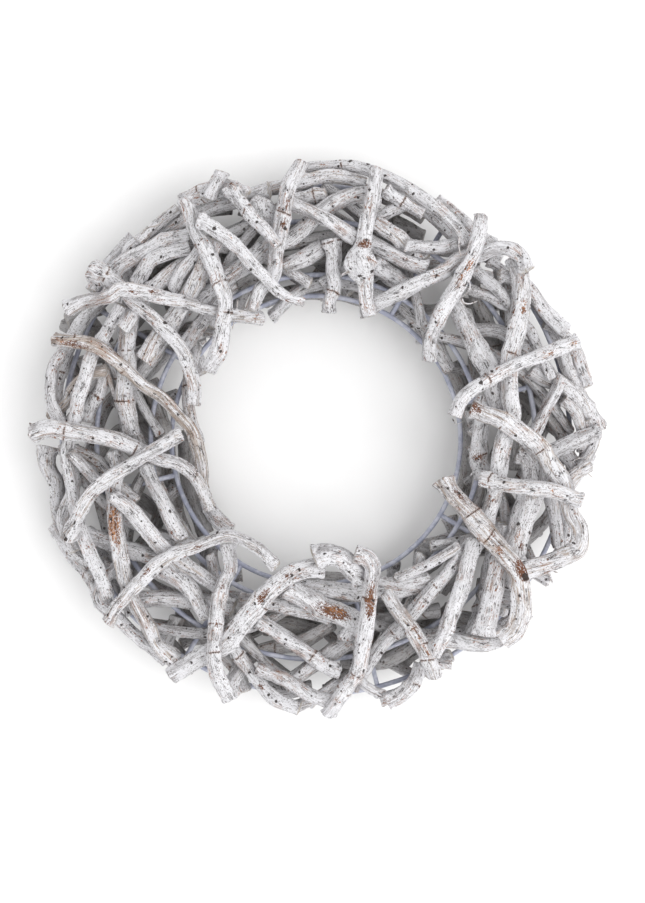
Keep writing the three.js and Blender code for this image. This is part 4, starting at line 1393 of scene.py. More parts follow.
    def _unshaded_share(self, points: np.ndarray, stem: Stem) -> np.ndarray:
        """How far each point is free of painted shade, by how far it lies from the middle of the section.

        Args:
            points: of the skin, in mm.
            stem: the stem.

        Returns:
            1 where no shade is painted.
        """
        off = np.hypot(points[:, :, 0], points[:, :, 1]) - CORE_RADIUS
        deep = np.hypot(off / self.section[0], (points[:, :, 2] - self.core_height) / self.section[1])
        cover = np.clip((deep - self.dry[0]) / (self.dry[1] - self.dry[0]), 0, 1)
        # a low fill stem keeps only a share, and so takes more painted shade
        return cover * (self.low_fill_unshaded_share if stem.name == "low" else 1.0)

    def _sway(self, along: np.ndarray, length: float, number: int) -> np.ndarray:
        """Small sideways wandering of the centreline, zero at both ends, in mm.

        Args:
            along: places of the rings in mm.
            length: the stem's length in mm.
            number: sets the stem apart from the others.

        Returns:
            How far up and how far across, for each ring.
        """
        fade = np.clip(np.minimum(along, length - along) / self.SWAY[0], 0, 1)
        rows = [self.noise(along / self.SWAY[1] + 11 * number, 0 * along + row, 0 * along) for row in (1, 2)]
        return np.column_stack(rows) * (self.wander * fade)[:, None]

    def _saw(self, grid: BarkGrid) -> np.ndarray:
        """How far each point of the ends moves along the stem, for a cut that isn't square.

        Args:
            grid: the stem's skin.

        Returns:
            Distances in mm.
        """
        total = 0.0
        for away, sign in ((grid.s, 1.0), (grid.length - grid.s, -1.0)):
            slope, facing = grid.rng.uniform(*self.SAW_SLOPE), grid.rng.uniform(0, TURN)
            askew = np.cos(grid.turn - facing) * self.SAW_ASKEW + self.SAW_LONG
            total = total + sign * slope * grid.r * askew * bell(away / grid.r)
        return total

    def _joints(self, grid: BarkGrid) -> tuple[np.ndarray, np.ndarray]:
        """Relief of the joints, and how far along the stem each point lies from the nearest one.

        The distance is positive on one side of a joint and negative on the other, and which side is
        which alternates from joint to joint, so that it passes through zero at the joints alone.

        Args:
            grid: the stem's skin.

        Returns:
            Shares of the radius, and distances in mm.
        """
        rng, turn = grid.rng, grid.turn
        places = [grid.along(mark)[0] for mark in grid.marks if mark.patch is NODE]
        cracked = set(places)
        place = rng.uniform(*self.JOINT_START)
        while place < grid.length - 8:
            if all(abs(place - other) > self.JOINT_GAP for other in places):
                places.append(place)
                if rng.uniform() < self.cracked_share:
                    cracked.add(place)
            place += rng.uniform(*self.joint_gap)
        relief = np.zeros((len(grid.s), turn.size))
        from_joint = np.full(relief.shape, FAR)
        rings = 0
        for number, place in enumerate(sorted(places)):
            strength = rng.uniform(*self.JOINT_STRENGTH)
            skew = rng.uniform(*self.JOINT_SKEW) * grid.r
            away = grid.s - place - skew * np.cos(turn - rng.uniform(0, 6.3))
            cleft = self.CLEFT_DEPTH * bell(away / self.CLEFT)
            relief += strength * self.joint_swell * (bell(away / self.SWELLING) - cleft)
            relief += (-1) ** number * self.joint_step * np.tanh(away / self.STEP_LENGTH)
            bud = around_from(turn, rng.uniform(0, TURN))
            near = bell(bud / self.BUD[0], (away - self.BUD_PLACE) / self.BUD[1])
            relief += self.BUD_HEIGHT * strength * near
            grid.dress[:, :, 0] += self.BUD_BROWN * strength * near
            if place in cracked:
                closer = np.abs(away) < np.abs(from_joint)
                from_joint = np.where(closer, (-1) ** rings * away, from_joint)
                rings += 1
        return relief, from_joint

    def _rough_ends(self, grid: BarkGrid) -> np.ndarray:
        """Ends that swell, break up and turn brown, by a bell shape along the stem times coarse noise.

        Args:
            grid: the stem's skin.

        Returns:
            Shares of the radius.
        """
        rng = grid.rng
        relief = 0.0
        for away in (grid.s, grid.length - grid.s):
            near = bell(away / rng.uniform(*self.END))
            flare = rng.uniform(*self.END_FLARE) * self.flare
            across, along = self.TEAR
            torn = self.noise(grid.gx / across + grid.phase, grid.gy / across, away / along + 2)
            relief = relief + near * (flare + rng.uniform(*self.END_TORN) * torn)
            brown = rng.uniform(*self.END_BROWN) * bell(away / self.END_BROWN_REACH)
            grid.dress[:, :, 0] += brown * (0.8 + torn)
        return relief

    def _burls(self, grid: BarkGrid) -> np.ndarray:
        """Round lumps at the burl marks: a bell shape along the stem and round its side.

        Args:
            grid: the stem's skin.

        Returns:
            Shares of the radius.
        """
        relief = 0.0
        for mark in grid.marks:
            if mark.patch is BURL:
                place, side = grid.along(mark)
                facing = math.asin(max(-0.9, min(0.9, -side / float(grid.r.max() * self.width))))
                away = (grid.s - place) / (self.BURL_REACH * mark.along)
                near = bell(away, around_from(grid.turn, facing))
                relief = relief + mark.across / grid.r * near
        return relief

    def _knob_lumps(self, grid: BarkGrid) -> np.ndarray:
        """Rough burl on each knob.

        Args:
            grid: the stem's skin.

        Returns:
            Shares of the radius.
        """
        relief = 0.0
        for share, diameter in grid.laid.stem.knobs:
            near = bell((grid.s - share * grid.length) / (self.KNOB_REACH * diameter))
            size = self.KNOB_GRAIN
            rough = self.noise(grid.gx / size + grid.phase, grid.gy / size, grid.s / size + 5)
            relief = relief + self.KNOB_HEIGHT * near * rough
        return relief

    def _patches(self, grid: BarkGrid) -> None:
        """Adds worn patches and bud scars to dress: brown, orange and pit.

        Args:
            grid: the stem's skin.
        """
        rng = grid.rng
        channel = {BROWN: 0, ORANGE: 1, PIT: 2}
        spots = []
        for mark in grid.marks:
            if mark.patch in channel:
                size = self.PIT_SHARE if mark.patch is PIT else 1.0
                spots.append((mark.patch, *grid.along(mark), mark.along * size, mark.across * size, 1.0))
        place = rng.uniform(*self.SCATTER_START)
        while place < grid.length - 3:
            patch = Patch(rng.choice([patch.value for patch in self.SCATTERED]))
            size = self.PIT_SIZE if patch is PIT else [rng.uniform(*span) for span in self.SCATTER_SIZE]
            strength = 1.0 if patch is PIT else rng.uniform(*self.SCATTER_STRENGTH)
            spots.append((patch, place, rng.uniform(*self.SCATTER_SIDE), *size, strength))
            place += rng.uniform(*self.scar_gap)
        sideways = -np.sin(grid.turn) * grid.r * self.width
        top = np.clip(np.cos(grid.turn) * grid.laid.stem.side + 0.4, 0, 1)
        for patch, place, side, length, width, strength in spots:
            near = bell((grid.s - place) / length, (sideways - side) / width) * top
            grid.dress[:, :, channel[patch]] += strength * near


@dataclass
class WireFrame:
    """Four painted wire rings, and cross wires bent over all of them."""

    around: int = 10
    ring_steps: int = 240
    rung_steps: int = 30
    drip: float = 0.07  # how much a wire's radius wavers
    drip_size: float = 6.0
    seed: int = 11

    def routes(self, steps: int) -> tuple[list[np.ndarray], list[np.ndarray]]:
        """Centrelines of the rings and of the cross wires.

        Args:
            steps: points of a ring.

        Returns:
            The rings and the cross wires.
        """
        rings = []
        for radius, rise in WIRE_RINGS:
            angles = 2 * np.pi * np.arange(steps) / steps
            z = np.full(steps, FRAME_HEIGHT + rise)
            rings.append(np.column_stack([radius * np.cos(angles), radius * np.sin(angles), z]))
        rungs = []
        for k in range(WIRE_RUNGS):
            angle = WIRE_RUNG_TURN + 360 * k / WIRE_RUNGS
            rungs.append(np.array([(*polar(angle, radius), FRAME_HEIGHT + rise - WIRE_RADIUS)
                                   for radius, rise in WIRE_RINGS]))
        return rings, rungs

    def obstacles(self, laying: Laying) -> None:
        """Adds the wires as what the first stems lie on.

        Args:
            laying: takes them.
        """
        rings, rungs = self.routes(WIRE_STEPS)
        for points in [np.vstack([ring, ring[:1]]) for ring in rings] + rungs:
            laying.add(Samples.along(points, np.full(len(points), WIRE_RADIUS)), 0)

    def surface(self) -> Surface:
        """All wires: round tubes whose radius wavers a little where paint has run and dried.

        Returns:
            One surface.
        """
        noise = SmoothNoise(self.seed)
        turn = around_steps(self.around)
        parts = []
        rings, rungs = self.routes(self.ring_steps)
        for number, centre in enumerate(rings + rungs):
            closed = number < len(rings)
            if not closed:
                share, fine = np.linspace(0, 1, len(centre)), np.linspace(0, 1, self.rung_steps)
                centre = np.column_stack([hermite(share, centre[:, axis], fine) for axis in range(3)])
            x, y = centre[:, :1] / self.drip_size, centre[:, 1:2] / self.drip_size
            drip = noise(x + np.cos(turn), y + np.sin(turn), 0 * x + number)
            points = round_tube(centre, turn, WIRE_RADIUS * (1 + self.drip * drip), closed)
            blank = np.zeros(points.shape)
            if closed:
                flat = [values.reshape(-1, 3) for values in (points, points, blank, blank, blank)]
                parts.append(Surface(flat[0], grid_triangles(len(centre), self.around, True), *flat[1:]))
            else:
                parts.append(closed_tube(points, points, blank, blank, blank))
        return Surface.joined(parts)

    def build(self, middle: np.ndarray, material: bpy.types.Material) -> bpy.types.Object:
        """The painted wire frame as a piece that stands for its node.

        Args:
            middle: the ring's middle in mm.
            material: the finish.

        Returns:
            The piece.
        """
        piece = self.surface().put_in("painted_wires", middle, material)
        dress_piece(piece, "wire_frame")
        return piece


def dress_piece(piece: bpy.types.Object, node: str) -> None:
    """Makes a piece ride with the wreath and stand for a node.

    Args:
        piece: the object.
        node: the node's name.
    """
    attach(piece, "root")
    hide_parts(node)
    log.info("%s: %d triangles", piece.name, len(piece.data.polygons))


@dataclass(frozen=True)
class Pattern:
    """Fractal noise in a finish.

    Args:
        scale: how many cells a mm has, across the stem.
        along: the share of that scale that is left along the stem.
        detail, roughness: how many finer layers it has and how strong they are.
    """

    scale: float
    along: float = 1.0
    detail: float = 2.0
    roughness: float = 0.6


class Graph:
    """The node graph of one material, with a short call for each kind of node."""

    def __init__(self, name: str) -> None:
        """Starts a material with an empty Principled shader.

        Args:
            name: the material's name.
        """
        self.material = bpy.data.materials.new(name)
        self.material.use_nodes = True
        self.tree = self.material.node_tree
        self.shader = self.tree.nodes["Principled BSDF"]

    def put(self, value: Any, socket: Socket) -> None:
        """Gives an input a value, or links it to another node's output.

        Args:
            value: a value or an output.
            socket: the input.
        """
        if isinstance(value, Socket):
            self.tree.links.new(value, socket)
        else:
            socket.default_value = value

    def add(self, kind: str, sockets: dict[str | int, Any] | None = None, **settings: Any) -> bpy.types.Node:
        """Adds a node.

        Args:
            kind: the node's type.
            sockets: what each input gets, a value or another node's output.
            settings: the node's own properties.

        Returns:
            The node.
        """
        node = self.tree.nodes.new(kind)
        for key, value in settings.items():
            setattr(node, key, value)
        for key, value in (sockets or {}).items():
            self.put(value, node.inputs[key])
        return node

    def attribute(self, name: str) -> Socket:
        """A named attribute of the mesh."""
        return self.add("ShaderNodeAttribute", attribute_name=name).outputs["Vector"]

    def parts(self, name: str) -> list[Socket]:
        """The three values of a named attribute of the mesh."""
        return list(self.add("ShaderNodeSeparateXYZ", {0: self.attribute(name)}).outputs)

    def noise(self, place: Socket, pattern: Pattern) -> Socket:
        """Fractal noise, drawn out along the stem where the pattern says so.

        Args:
            place: where it is read.
            pattern: its size and kind.

        Returns:
            Values between 0 and 1.
        """
        if pattern.along != 1.0:
            stretch = {0: place, 1: (1.0, 1.0, pattern.along)}
            place = self.add("ShaderNodeVectorMath", stretch, operation="MULTIPLY").outputs[0]
        node = self.add("ShaderNodeTexNoise", {"Vector": place, "Scale": pattern.scale,
                                               "Detail": pattern.detail, "Roughness": pattern.roughness})
        return node.outputs[0]

    def math(self, operation: str, first: Any, second: Any = 0.5, third: Any = 0.5) -> Socket:
        """One sum."""
        return self.add("ShaderNodeMath", {0: first, 1: second, 2: third}, operation=operation).outputs[0]

    def times(self, first: Any, second: Any) -> Socket:
        """A product."""
        return self.math("MULTIPLY", first, second)

    def times_plus(self, first: Any, second: Any, third: Any) -> Socket:
        """The first times the second, plus the third."""
        return self.math("MULTIPLY_ADD", first, second, third)

    def band(self, value: Socket, edges: Range, start: float = 0.0, end: float = 1.0) -> Socket:
        """Smooth step from start to end as the value goes from one edge to the other.

        Args:
            value: what is read.
            edges: where the step begins and ends.
            start, end: what it gives before and after them.

        Returns:
            The step.
        """
        node = self.add("ShaderNodeMapRange", {"Value": value, "From Min": edges[0], "From Max": edges[1],
                                               "To Min": start, "To Max": end},
                        interpolation_type="SMOOTHSTEP")
        return node.outputs[0]

    def mix(self, factor: Any, first: Any, second: Any) -> Socket:
        """Two colours mixed.

        Args:
            factor: the share of the second.
            first, second: the colours.

        Returns:
            The mixture.
        """
        node = self.add("ShaderNodeMix", data_type="RGBA")
        for socket, value in zip((node.inputs[0], node.inputs[6], node.inputs[7]), (factor, first, second)):
            self.put(value, socket)
        return node.outputs[2]

    def finish(self, colour: Socket, roughness: float | Socket, height: Socket,
               relief: float) -> bpy.types.Material:
        """Joins colour, roughness and bump to the shader.

        Args:
            colour: the base colour.
            roughness: one number, or a socket where it varies.
            height: the bump's height, between 0 and 1.
            relief: the bump's depth in mm.

        Returns:
            The material.
        """
        self.put(colour, self.shader.inputs["Base Color"])
        self.put(roughness, self.shader.inputs["Roughness"])
        bump = self.add("ShaderNodeBump", {"Height": height, "Distance": relief * MM, "Strength": 1.0})
        self.put(bump.outputs[0], self.shader.inputs["Normal"])
        return self.material


@dataclass(frozen=True)
class WhitewashedBark:
    """Bark under a thin whitewash that has worn off its ridges and cracked along the grain.

    Each pattern below is noise, and each range after it holds the values between which it shows.
    """

    BROAD = Pattern(0.22, 0.2, 3.0)
    STREAK = Pattern(0.8, 0.07, 5.0, 0.7)
    FLAKE = Pattern(1.1, 0.5, 6.0, 0.75)
    REGION = Pattern(0.06, detail=3.0)
    THIN = (1.25, 1.41)
    BARE = (0.60, 0.72)
    RAGGED = (3.2, -2.12)  # how far the flakes break up a patch's edge, and where that edge lies
    BROWN_EDGE = (0.0, 0.2)
    ORANGE_EDGE = (0.0, 0.3)
    TORN = (0.44, 0.56)
    SAWN = Pattern(0.5, detail=3.0)
    SAWN_WASH = (0.4, 0.6)
    SCAR_EDGE = (0.35, 0.5)
    HAIR = Pattern(1.1, 0.035, 3.0, 0.55)
    HAIR_LINE = (0.010, 0.034)
    STRETCH = Pattern(0.5, 0.25)
    STRETCHES = (0.43, 0.53)
    SEAM = Pattern(0.42, 0.05, 4.0, 0.55)
    SEAM_LINE = (0.008, 0.028)
    RUSTY = (0.50, 0.62)
    PEPPER = Pattern(1.35, 0.6, 1.5, 0.5)
    SPREAD = Pattern(0.2)
    GRAINS = (0.765, 0.795)
    SPLASH = Pattern(0.55, 0.6, 3.0)
    SPLASHED = (0.62, 0.65)
    FLECKED = (0.53, 0.58)
    DEEP = Pattern(0.5, 0.10, 4.0)
    DEEP_LINE = (0.008, 0.024)
    CRACKS = Pattern(0.16)
    CRACKED = (0.52, 0.62)
    KEPT = Pattern(0.23)
    KEPT_RINGS = (0.44, 0.54)
    RING_LINE = (0.15, 0.5)  # mm from the joint
    RING_HALO = (0.3, 1.3)
    DOTS = ((0.24, (0.11, 0.19), 0.72), (0.10, (0.07, 0.12), 0.75))  # cells a mm, edge, share without
    # How much each of these thins the wash: noise, grooves, which turn greyer, and the underside, whose
    # greyer wash is painted shade
    THINNED = {"broad": 0.5, "streak": 0.8, "groove": 0.26, "shaded_underside": 0.09}
    SHOWN = {"tan": 0.8, "line": 0.64, "rust": 0.65, "speck": 0.65, "fleck": 0.9, "crack": 0.9,
             "brown": 0.78, "orange": 0.74, "sawn": 0.8, "pit": 0.94}  # how strongly each shows
    HEIGHTS = {"flake": 0.8, "streak": 1.2, "dents": 0.45}
    BUMP = 1.5  # mm

    name: str
    wash: Colour = (0.825, 0.817, 0.837, 1)
    thin: Colour = (0.53, 0.515, 0.527, 1)
    line: Colour = (0.15, 0.12, 0.115, 1)
    speck: Colour = (0.10, 0.065, 0.05, 1)
    shade: Colour = (0.20, 0.185, 0.17, 1)
    inside: float = 0.62  # how much of the painted shade colour the bark deep inside the ring takes
    crack: Colour = (0.035, 0.024, 0.020, 1)
    rust: Colour = (0.33, 0.17, 0.10, 1)
    fleck: Colour = (0.25, 0.095, 0.04, 1)
    brown: Colour = (0.15, 0.06, 0.03, 1)
    orange: Colour = (0.45, 0.20, 0.08, 1)
    tan: Colour = (0.42, 0.33, 0.26, 1)
    wood: Colour = (0.52, 0.45, 0.37, 1)
    cover: float = 0.0  # raises how much of the bark the wash leaves thin

    def material(self) -> bpy.types.Material:
        """The procedural finish. Its coordinates are the stem's own: mm round and along it.

        Returns:
            The material.
        """
        graph = Graph(self.name)
        grain = graph.attribute("grain")
        brown, orange, scar = graph.parts("dress")
        sawn, unshaded, groove = graph.parts("state")
        from_joint, weathered, upward = graph.parts("age")
        broad = graph.noise(grain, self.BROAD)
        streak = graph.noise(grain, self.STREAK)
        flake = graph.noise(grain, self.FLAKE)
        region = graph.noise(grain, self.REGION)
        # painted shade: the wash turns greyer where a stem faces down or sideways
        shaded_underside = graph.band(upward, (-0.1, 0.9), 1.0, 0.0)
        parts = {"streak": streak, "broad": broad, "groove": groove, "shaded_underside": shaded_underside}
        amount = flake
        for name, part in parts.items():
            amount = graph.times_plus(part, self.THINNED[name], amount)
        thin = graph.band(amount, (self.THIN[0] - self.cover, self.THIN[1] - self.cover))
        colour = graph.mix(thin, self.wash, self.thin)
        bare = graph.band(graph.times_plus(weathered, 0.42, streak), self.BARE)
        colour = graph.mix(graph.times(bare, self.SHOWN["tan"]), colour, self.tan)
        colour = self._lined(graph, grain, region, colour)
        crack, colour = self._cracked(graph, grain, from_joint, flake, colour)
        ragged = graph.times_plus(flake, *self.RAGGED)
        worn = graph.math("ADD", graph.times(brown, self.SHOWN["brown"]), ragged)
        colour = graph.mix(graph.band(worn, self.BROWN_EDGE), colour, self.brown)
        fresh = graph.math("ADD", graph.times(orange, self.SHOWN["orange"]), ragged)
        torn = graph.mix(graph.band(streak, self.TORN), self.orange, self.brown)
        colour = graph.mix(graph.band(fresh, self.ORANGE_EDGE), colour, torn)
        face = graph.mix(graph.band(graph.noise(grain, self.SAWN), self.SAWN_WASH), self.wood, self.wash)
        colour = graph.mix(graph.times(sawn, self.SHOWN["sawn"]), colour, face)
        dots = graph.math("MAXIMUM", *(self._dots(graph, grain, *row) for row in self.DOTS))
        scar = graph.times_plus(graph.math("SUBTRACT", flake, 0.5), 0.8, scar)
        pit = graph.math("MAXIMUM", dots, graph.band(scar, self.SCAR_EDGE))
        colour = graph.mix(graph.times(pit, self.SHOWN["pit"]), colour, self.crack)
        # painted shade: bark deep in the ring's section, and a low fill stem more so, is mixed toward the
        # shade colour
        colour = graph.mix(graph.band(unshaded, (0.0, 1.0), self.inside, 0.0), colour, self.shade)
        dents = graph.times_plus(crack, 0.8, pit)
        raised = graph.times_plus(flake, self.HEIGHTS["flake"], graph.times(streak, self.HEIGHTS["streak"]))
        height = graph.math("SUBTRACT", raised, graph.times(dents, self.HEIGHTS["dents"]))
        return graph.finish(colour, graph.band(flake, (0.3, 0.7), 0.95, 0.82), height, self.BUMP)

    def _lined(self, graph: Graph, grain: Socket, region: Socket, colour: Socket) -> Socket:
        """The colour with hairlines along the grain, rusty seams and specks of bare bark.

        Args:
            graph: the material's graph.
            grain: the stem's coordinates.
            region: broad noise.
            colour: the colour so far.

        Returns:
            The colour.
        """
        hair = self._lines(graph, graph.noise(grain, self.HAIR), self.HAIR_LINE)
        lines = graph.times(hair, graph.band(graph.noise(grain, self.STRETCH), self.STRETCHES))
        colour = graph.mix(graph.times(lines, self.SHOWN["line"]), colour, self.line)
        seam = self._lines(graph, graph.noise(grain, self.SEAM), self.SEAM_LINE)
        rust = graph.times(seam, graph.band(region, self.RUSTY))
        colour = graph.mix(graph.times(rust, self.SHOWN["rust"]), colour, self.rust)
        pepper = graph.times_plus(graph.noise(grain, self.SPREAD), 0.3, graph.noise(grain, self.PEPPER))
        specks = graph.times(graph.band(pepper, self.GRAINS), self.SHOWN["speck"])
        colour = graph.mix(specks, colour, self.speck)
        splash = graph.band(graph.noise(grain, self.SPLASH), self.SPLASHED)
        flecks = graph.times(splash, graph.band(region, self.FLECKED))
        return graph.mix(graph.times(flecks, self.SHOWN["fleck"]), colour, self.fleck)

    def _cracked(self, graph: Graph, grain: Socket, away: Socket, flake: Socket,
                 colour: Socket) -> tuple[Socket, Socket]:
        """Where the bark has cracked, along the grain and round joints, and the colour with the cracks.

        Args:
            graph: the material's graph.
            grain: the stem's coordinates.
            away: mm from the nearest joint.
            flake: fine noise.
            colour: the colour so far.

        Returns:
            The cracks and the colour.
        """
        deep = self._lines(graph, graph.noise(grain, self.DEEP), self.DEEP_LINE)
        long_cracks = graph.times(deep, graph.band(graph.noise(grain, self.CRACKS), self.CRACKED))
        shaken = graph.times_plus(graph.math("SUBTRACT", flake, 0.5), 3.0, away)
        shaken = graph.math("ABSOLUTE", shaken)
        kept = graph.band(graph.noise(grain, self.KEPT), self.KEPT_RINGS)
        rings = graph.times(graph.band(shaken, self.RING_LINE, 1.0, 0.0), kept)
        halo = graph.times(graph.band(shaken, self.RING_HALO, 0.65, 0.0), kept)
        colour = graph.mix(halo, colour, self.rust)
        crack = graph.math("MAXIMUM", long_cracks, rings)
        return crack, graph.mix(graph.times(crack, self.SHOWN["crack"]), colour, self.crack)

    @staticmethod
    def _lines(graph: Graph, noise: Socket, edges: Range) -> Socket:
        """Thin lines where the noise crosses its middle value."""
        return graph.band(graph.math("ABSOLUTE", graph.math("SUBTRACT", noise, 0.5)), edges, 1.0, 0.0)

    @staticmethod
    def _dots(graph: Graph, place: Socket, scale: float, edges: Range, rare: float) -> Socket:
        """Round dots at the middles of some cells.

        Args:
            graph: the material's graph.
            place: where they are read.
            scale: cells a mm.
            edges: where a dot's edge begins and ends.
            rare: the share of cells without one.

        Returns:
            1 in the dots.
        """
        cells = graph.add("ShaderNodeTexVoronoi", {"Vector": place, "Scale": scale, "Randomness": 1.0})
        chosen = graph.add("ShaderNodeSeparateColor", {0: cells.outputs["Color"]}).outputs[0]
        return graph.times(graph.band(cells.outputs["Distance"], edges, 1.0, 0.0),
                           graph.band(chosen, (rare, rare + 0.02)))


@dataclass(frozen=True)
class WirePaint:
    """Blue-grey paint on wire, dusted with whitewash."""

    CLOUD = Pattern(0.16, detail=4.0)
    FINE = Pattern(1.4, detail=3.0)

    name: str
    paint: Colour = (0.33, 0.345, 0.43, 1)
    dust: Colour = (0.50, 0.51, 0.58, 1)

    def material(self) -> bpy.types.Material:
        """The procedural finish.

        Returns:
            The material.
        """
        graph = Graph(self.name)
        grain = graph.attribute("grain")
        cloud = graph.noise(grain, self.CLOUD)
        fine = graph.noise(grain, self.FINE)
        colour = graph.mix(graph.band(cloud, (0.42, 0.62)), self.paint, self.dust)
        return graph.finish(colour, graph.band(fine, (0.3, 0.7), 0.38, 0.6), fine, relief=0.15)


@dataclass(frozen=True)
class PalePaper:
    """Matt off-white floor with the faintest mottling, its patterns' scales per metre."""

    CLOUD = Pattern(3.0, detail=4.0)
    TOOTH = Pattern(900.0)

    name: str
    light: Colour = (0.90, 0.895, 0.888, 1)
    dark: Colour = (0.885, 0.88, 0.873, 1)

    def material(self) -> bpy.types.Material:
        """The procedural finish, in object coordinates in metres.

        Returns:
            The material.
        """
        graph = Graph(self.name)
        place = graph.add("ShaderNodeTexCoord").outputs["Object"]
        cloud = graph.noise(place, self.CLOUD)
        colour = graph.mix(graph.band(cloud, (0.35, 0.65)), self.light, self.dark)
        return graph.finish(colour, 0.9, graph.noise(place, self.TOOTH), relief=0.05)


@dataclass
class Tendrils:
    """Thin dry tendrils and torn fibres that curl out from between the stems.

    Each is a spline through its points with a round section that thins to a third at its far end.
    """

    around: int = 8
    step: float = 1.2
    thinning: float = 0.66
    rise: float = 2.5  # mm that it waves up
    weathered: float = 0.3
    routes: tuple[tuple[float, float, Route], ...] = TENDRILS

    def build(self, middle: np.ndarray, material: bpy.types.Material) -> bpy.types.Object:
        """All tendrils as one piece.

        Args:
            middle: the ring's middle in mm.
            material: the finish.

        Returns:
            The piece.
        """
        turn = around_steps(self.around)
        parts = []
        for number, (thickness, height, pixels) in enumerate(self.routes):
            curve = Curve(plan_path(pixels))
            share = np.linspace(0, 1, max(6, round(curve.length / self.step)))
            centre = in_space(curve.at(share), height + self.rise * np.sin(3 * share + number))
            blunt = np.minimum(1, 12 * np.minimum(share, 1 - share) + 0.15)
            r = (thickness / 2 * (1 - self.thinning * share) * blunt)[:, None]
            points = round_tube(centre, turn, r)
            s = share[:, None] * curve.length
            grain = np.stack([np.cos(turn) * r, np.sin(turn) * r, s + 0 * turn], -1) + 23.0 * number
            blank = np.zeros(points.shape)
            # a tendril's state: not sawn, free of the painted shade, not in a groove
            washed = blank + np.array([0.0, 1.0, 0.0])
            far = blank + np.array([FAR, self.weathered, 0.0])
            parts.append(closed_tube(points, grain, blank, washed, far))
        piece = Surface.joined(parts).put_in("bark_tendrils", middle, material)
        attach(piece, "root")
        log.info("%s: %d triangles", piece.name, len(piece.data.polygons))
        return piece


@dataclass
class Stems:
    """Every stem of the wreath: laid, wrapped in bark and put in as bunches and separate stems."""

    front: BarkSkin
    back: BarkSkin
    middle: np.ndarray
    separate_finish: bpy.types.Material
    bunch_finish: bpy.types.Material

    def build(self, laying: Laying) -> list[bpy.types.Object]:
        """Lays all stems, then builds one piece for each node.

        Args:
            laying: holds the wires, and takes the stems.

        Returns:
            The pieces.
        """
        order = [*core_stems(1), *FRONT_STEMS, *core_stems(-1), *back_stems()]
        laid = [laying.lay(stem) for stem in order]
        weaving = Weaving(laying)
        laid += [weaving.weave(stem, level) for stem, level in fill_stems()]
        skins = [(self.front if item.stem.side > 0 else self.back).wrap(item, number)
                 for number, item in enumerate(laid)]
        pieces = []
        for side, label in ((1, "front"), (-1, "back")):
            of_side = [(item.stem.bunch, skin) for item, skin in zip(laid, skins) if item.stem.side == side]
            for sector in range(SECTORS):
                members = Surface.joined([skin for bunch, skin in of_side if bunch == sector])
                name = f"{label}_bunch_{sector + 1}"
                piece = members.put_in(f"bark_{name}", self.middle, self.bunch_finish)
                dress_piece(piece, name)
                pieces.append(piece)
            for number, skin in enumerate([skin for bunch, skin in of_side if bunch is None], 1):
                name = f"{label}_stem_{number}"
                piece = skin.put_in(f"bark_{name}", self.middle, self.separate_finish)
                dress_piece(piece, name)
                pieces.append(piece)
        return pieces


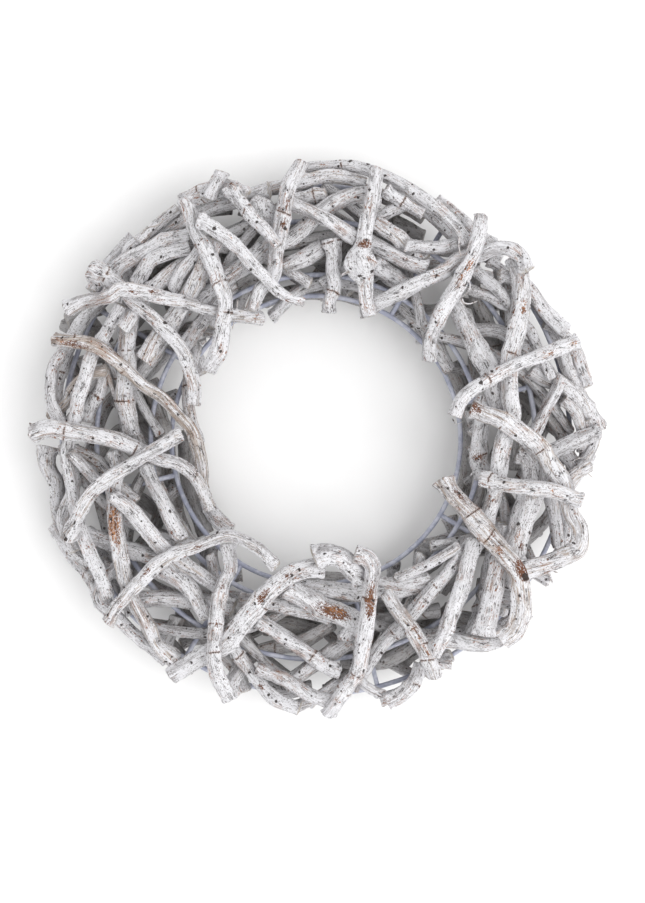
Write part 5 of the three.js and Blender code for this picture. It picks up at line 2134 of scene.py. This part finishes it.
@dataclass
class Studio:
    """Pale floor, even sky light with a soft lamp at the lower right, and the photograph's camera."""

    middle: np.ndarray
    floor_size: float = 6.0
    floor_drop: float = 0.0002  # m below the wreath's resting face
    sky: Colour = (0.985, 0.99, 1.0, 1)
    sky_strength: float = 1.055
    lamp_place: tuple[float, float, float] = (1.15, -0.5, 2.0)
    lamp_size: float = 2.0
    lamp_power: float = 37.0
    sensor: float = 36.0  # mm

    def build(self) -> None:
        """Makes floor, lights and camera."""
        half = self.floor_size / 2
        mesh = bpy.data.meshes.new("floor")
        mesh.from_pydata([(-half, -half, 0), (half, -half, 0), (half, half, 0), (-half, half, 0)], [],
                         [(0, 1, 2, 3)])
        mesh.materials.append(PalePaper("pale_paper").material())
        floor = bpy.data.objects.new("floor", mesh)
        floor.location.z = -self.floor_drop
        bpy.context.scene.collection.objects.link(floor)
        floor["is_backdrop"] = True
        world = bpy.data.worlds.new("studio")
        world.use_nodes = True
        background = world.node_tree.nodes["Background"]
        background.inputs["Color"].default_value = self.sky
        background.inputs["Strength"].default_value = self.sky_strength
        bpy.context.scene.world = world
        bpy.context.scene.view_settings.view_transform = "Standard"
        self._lamp()
        self._camera()

    def _lamp(self) -> None:
        """One large soft lamp, turned to the middle of the wreath."""
        data = bpy.data.lights.new("window", "AREA")
        data.shape = "SQUARE"
        data.size = self.lamp_size
        data.energy = self.lamp_power
        lamp = bpy.data.objects.new("window", data)
        lamp.location = self.lamp_place
        away = np.array(self.lamp_place)
        away = away / np.linalg.norm(away)
        lamp.rotation_euler = (math.acos(away[2]), 0, math.atan2(away[1], away[0]) + math.pi / 2)
        bpy.context.scene.collection.objects.link(lamp)

    def _camera(self) -> None:
        """Straight above, moved sideways so that the ring's middle falls on its pixel."""
        width, height = PHOTO_SIZE
        right = PHOTO_SCALE * (width / 2 - PHOTO_CENTRE[0])
        down = PHOTO_SCALE * (height / 2 - PHOTO_CENTRE[1])
        data = bpy.data.cameras.new("camera")
        data.sensor_width = self.sensor
        data.lens = data.sensor_width * (VIEW_HEIGHT - PLAN_LEVEL) / (PHOTO_SCALE * height)
        camera = bpy.data.objects.new("camera", data)
        camera.location = ((self.middle[0] + right) * MM, (self.middle[1] - down) * MM, VIEW_HEIGHT * MM)
        bpy.context.scene.collection.objects.link(camera)
        bpy.context.scene.camera = camera


def corners() -> list[list[float]]:
    """Lowest and highest corner of what shows, as plain lists."""
    return [list(corner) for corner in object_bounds()]


def main() -> None:
    """Builds the wreath and its studio."""
    logging.basicConfig(level=logging.INFO, format="%(message)s")
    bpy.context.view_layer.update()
    low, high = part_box("wire_frame")
    middle = np.array([(low[axis] + high[axis]) / 2 / MM for axis in (0, 1)])
    log.info("the ring's middle lies at %s mm", middle.round(2).tolist())
    wires = WireFrame()
    laying = Laying()
    wires.obstacles(laying)
    wires.build(middle, WirePaint("painted_wire").material())
    stems = Stems(BarkSkin(), BarkSkin(around=18, step=2.4, seed=8), middle,
                  WhitewashedBark("whitewashed_bark").material(),
                  WhitewashedBark("shaded_bark", wash=(0.80, 0.792, 0.812, 1), cover=0.01).material())
    pieces = stems.build(laying)
    log.info("%d bark pieces, %d triangles", len(pieces), sum(len(p.data.polygons) for p in pieces))
    Tendrils().build(middle, stems.separate_finish)
    Studio(middle).build()


if __name__ == "__main__":
    main()
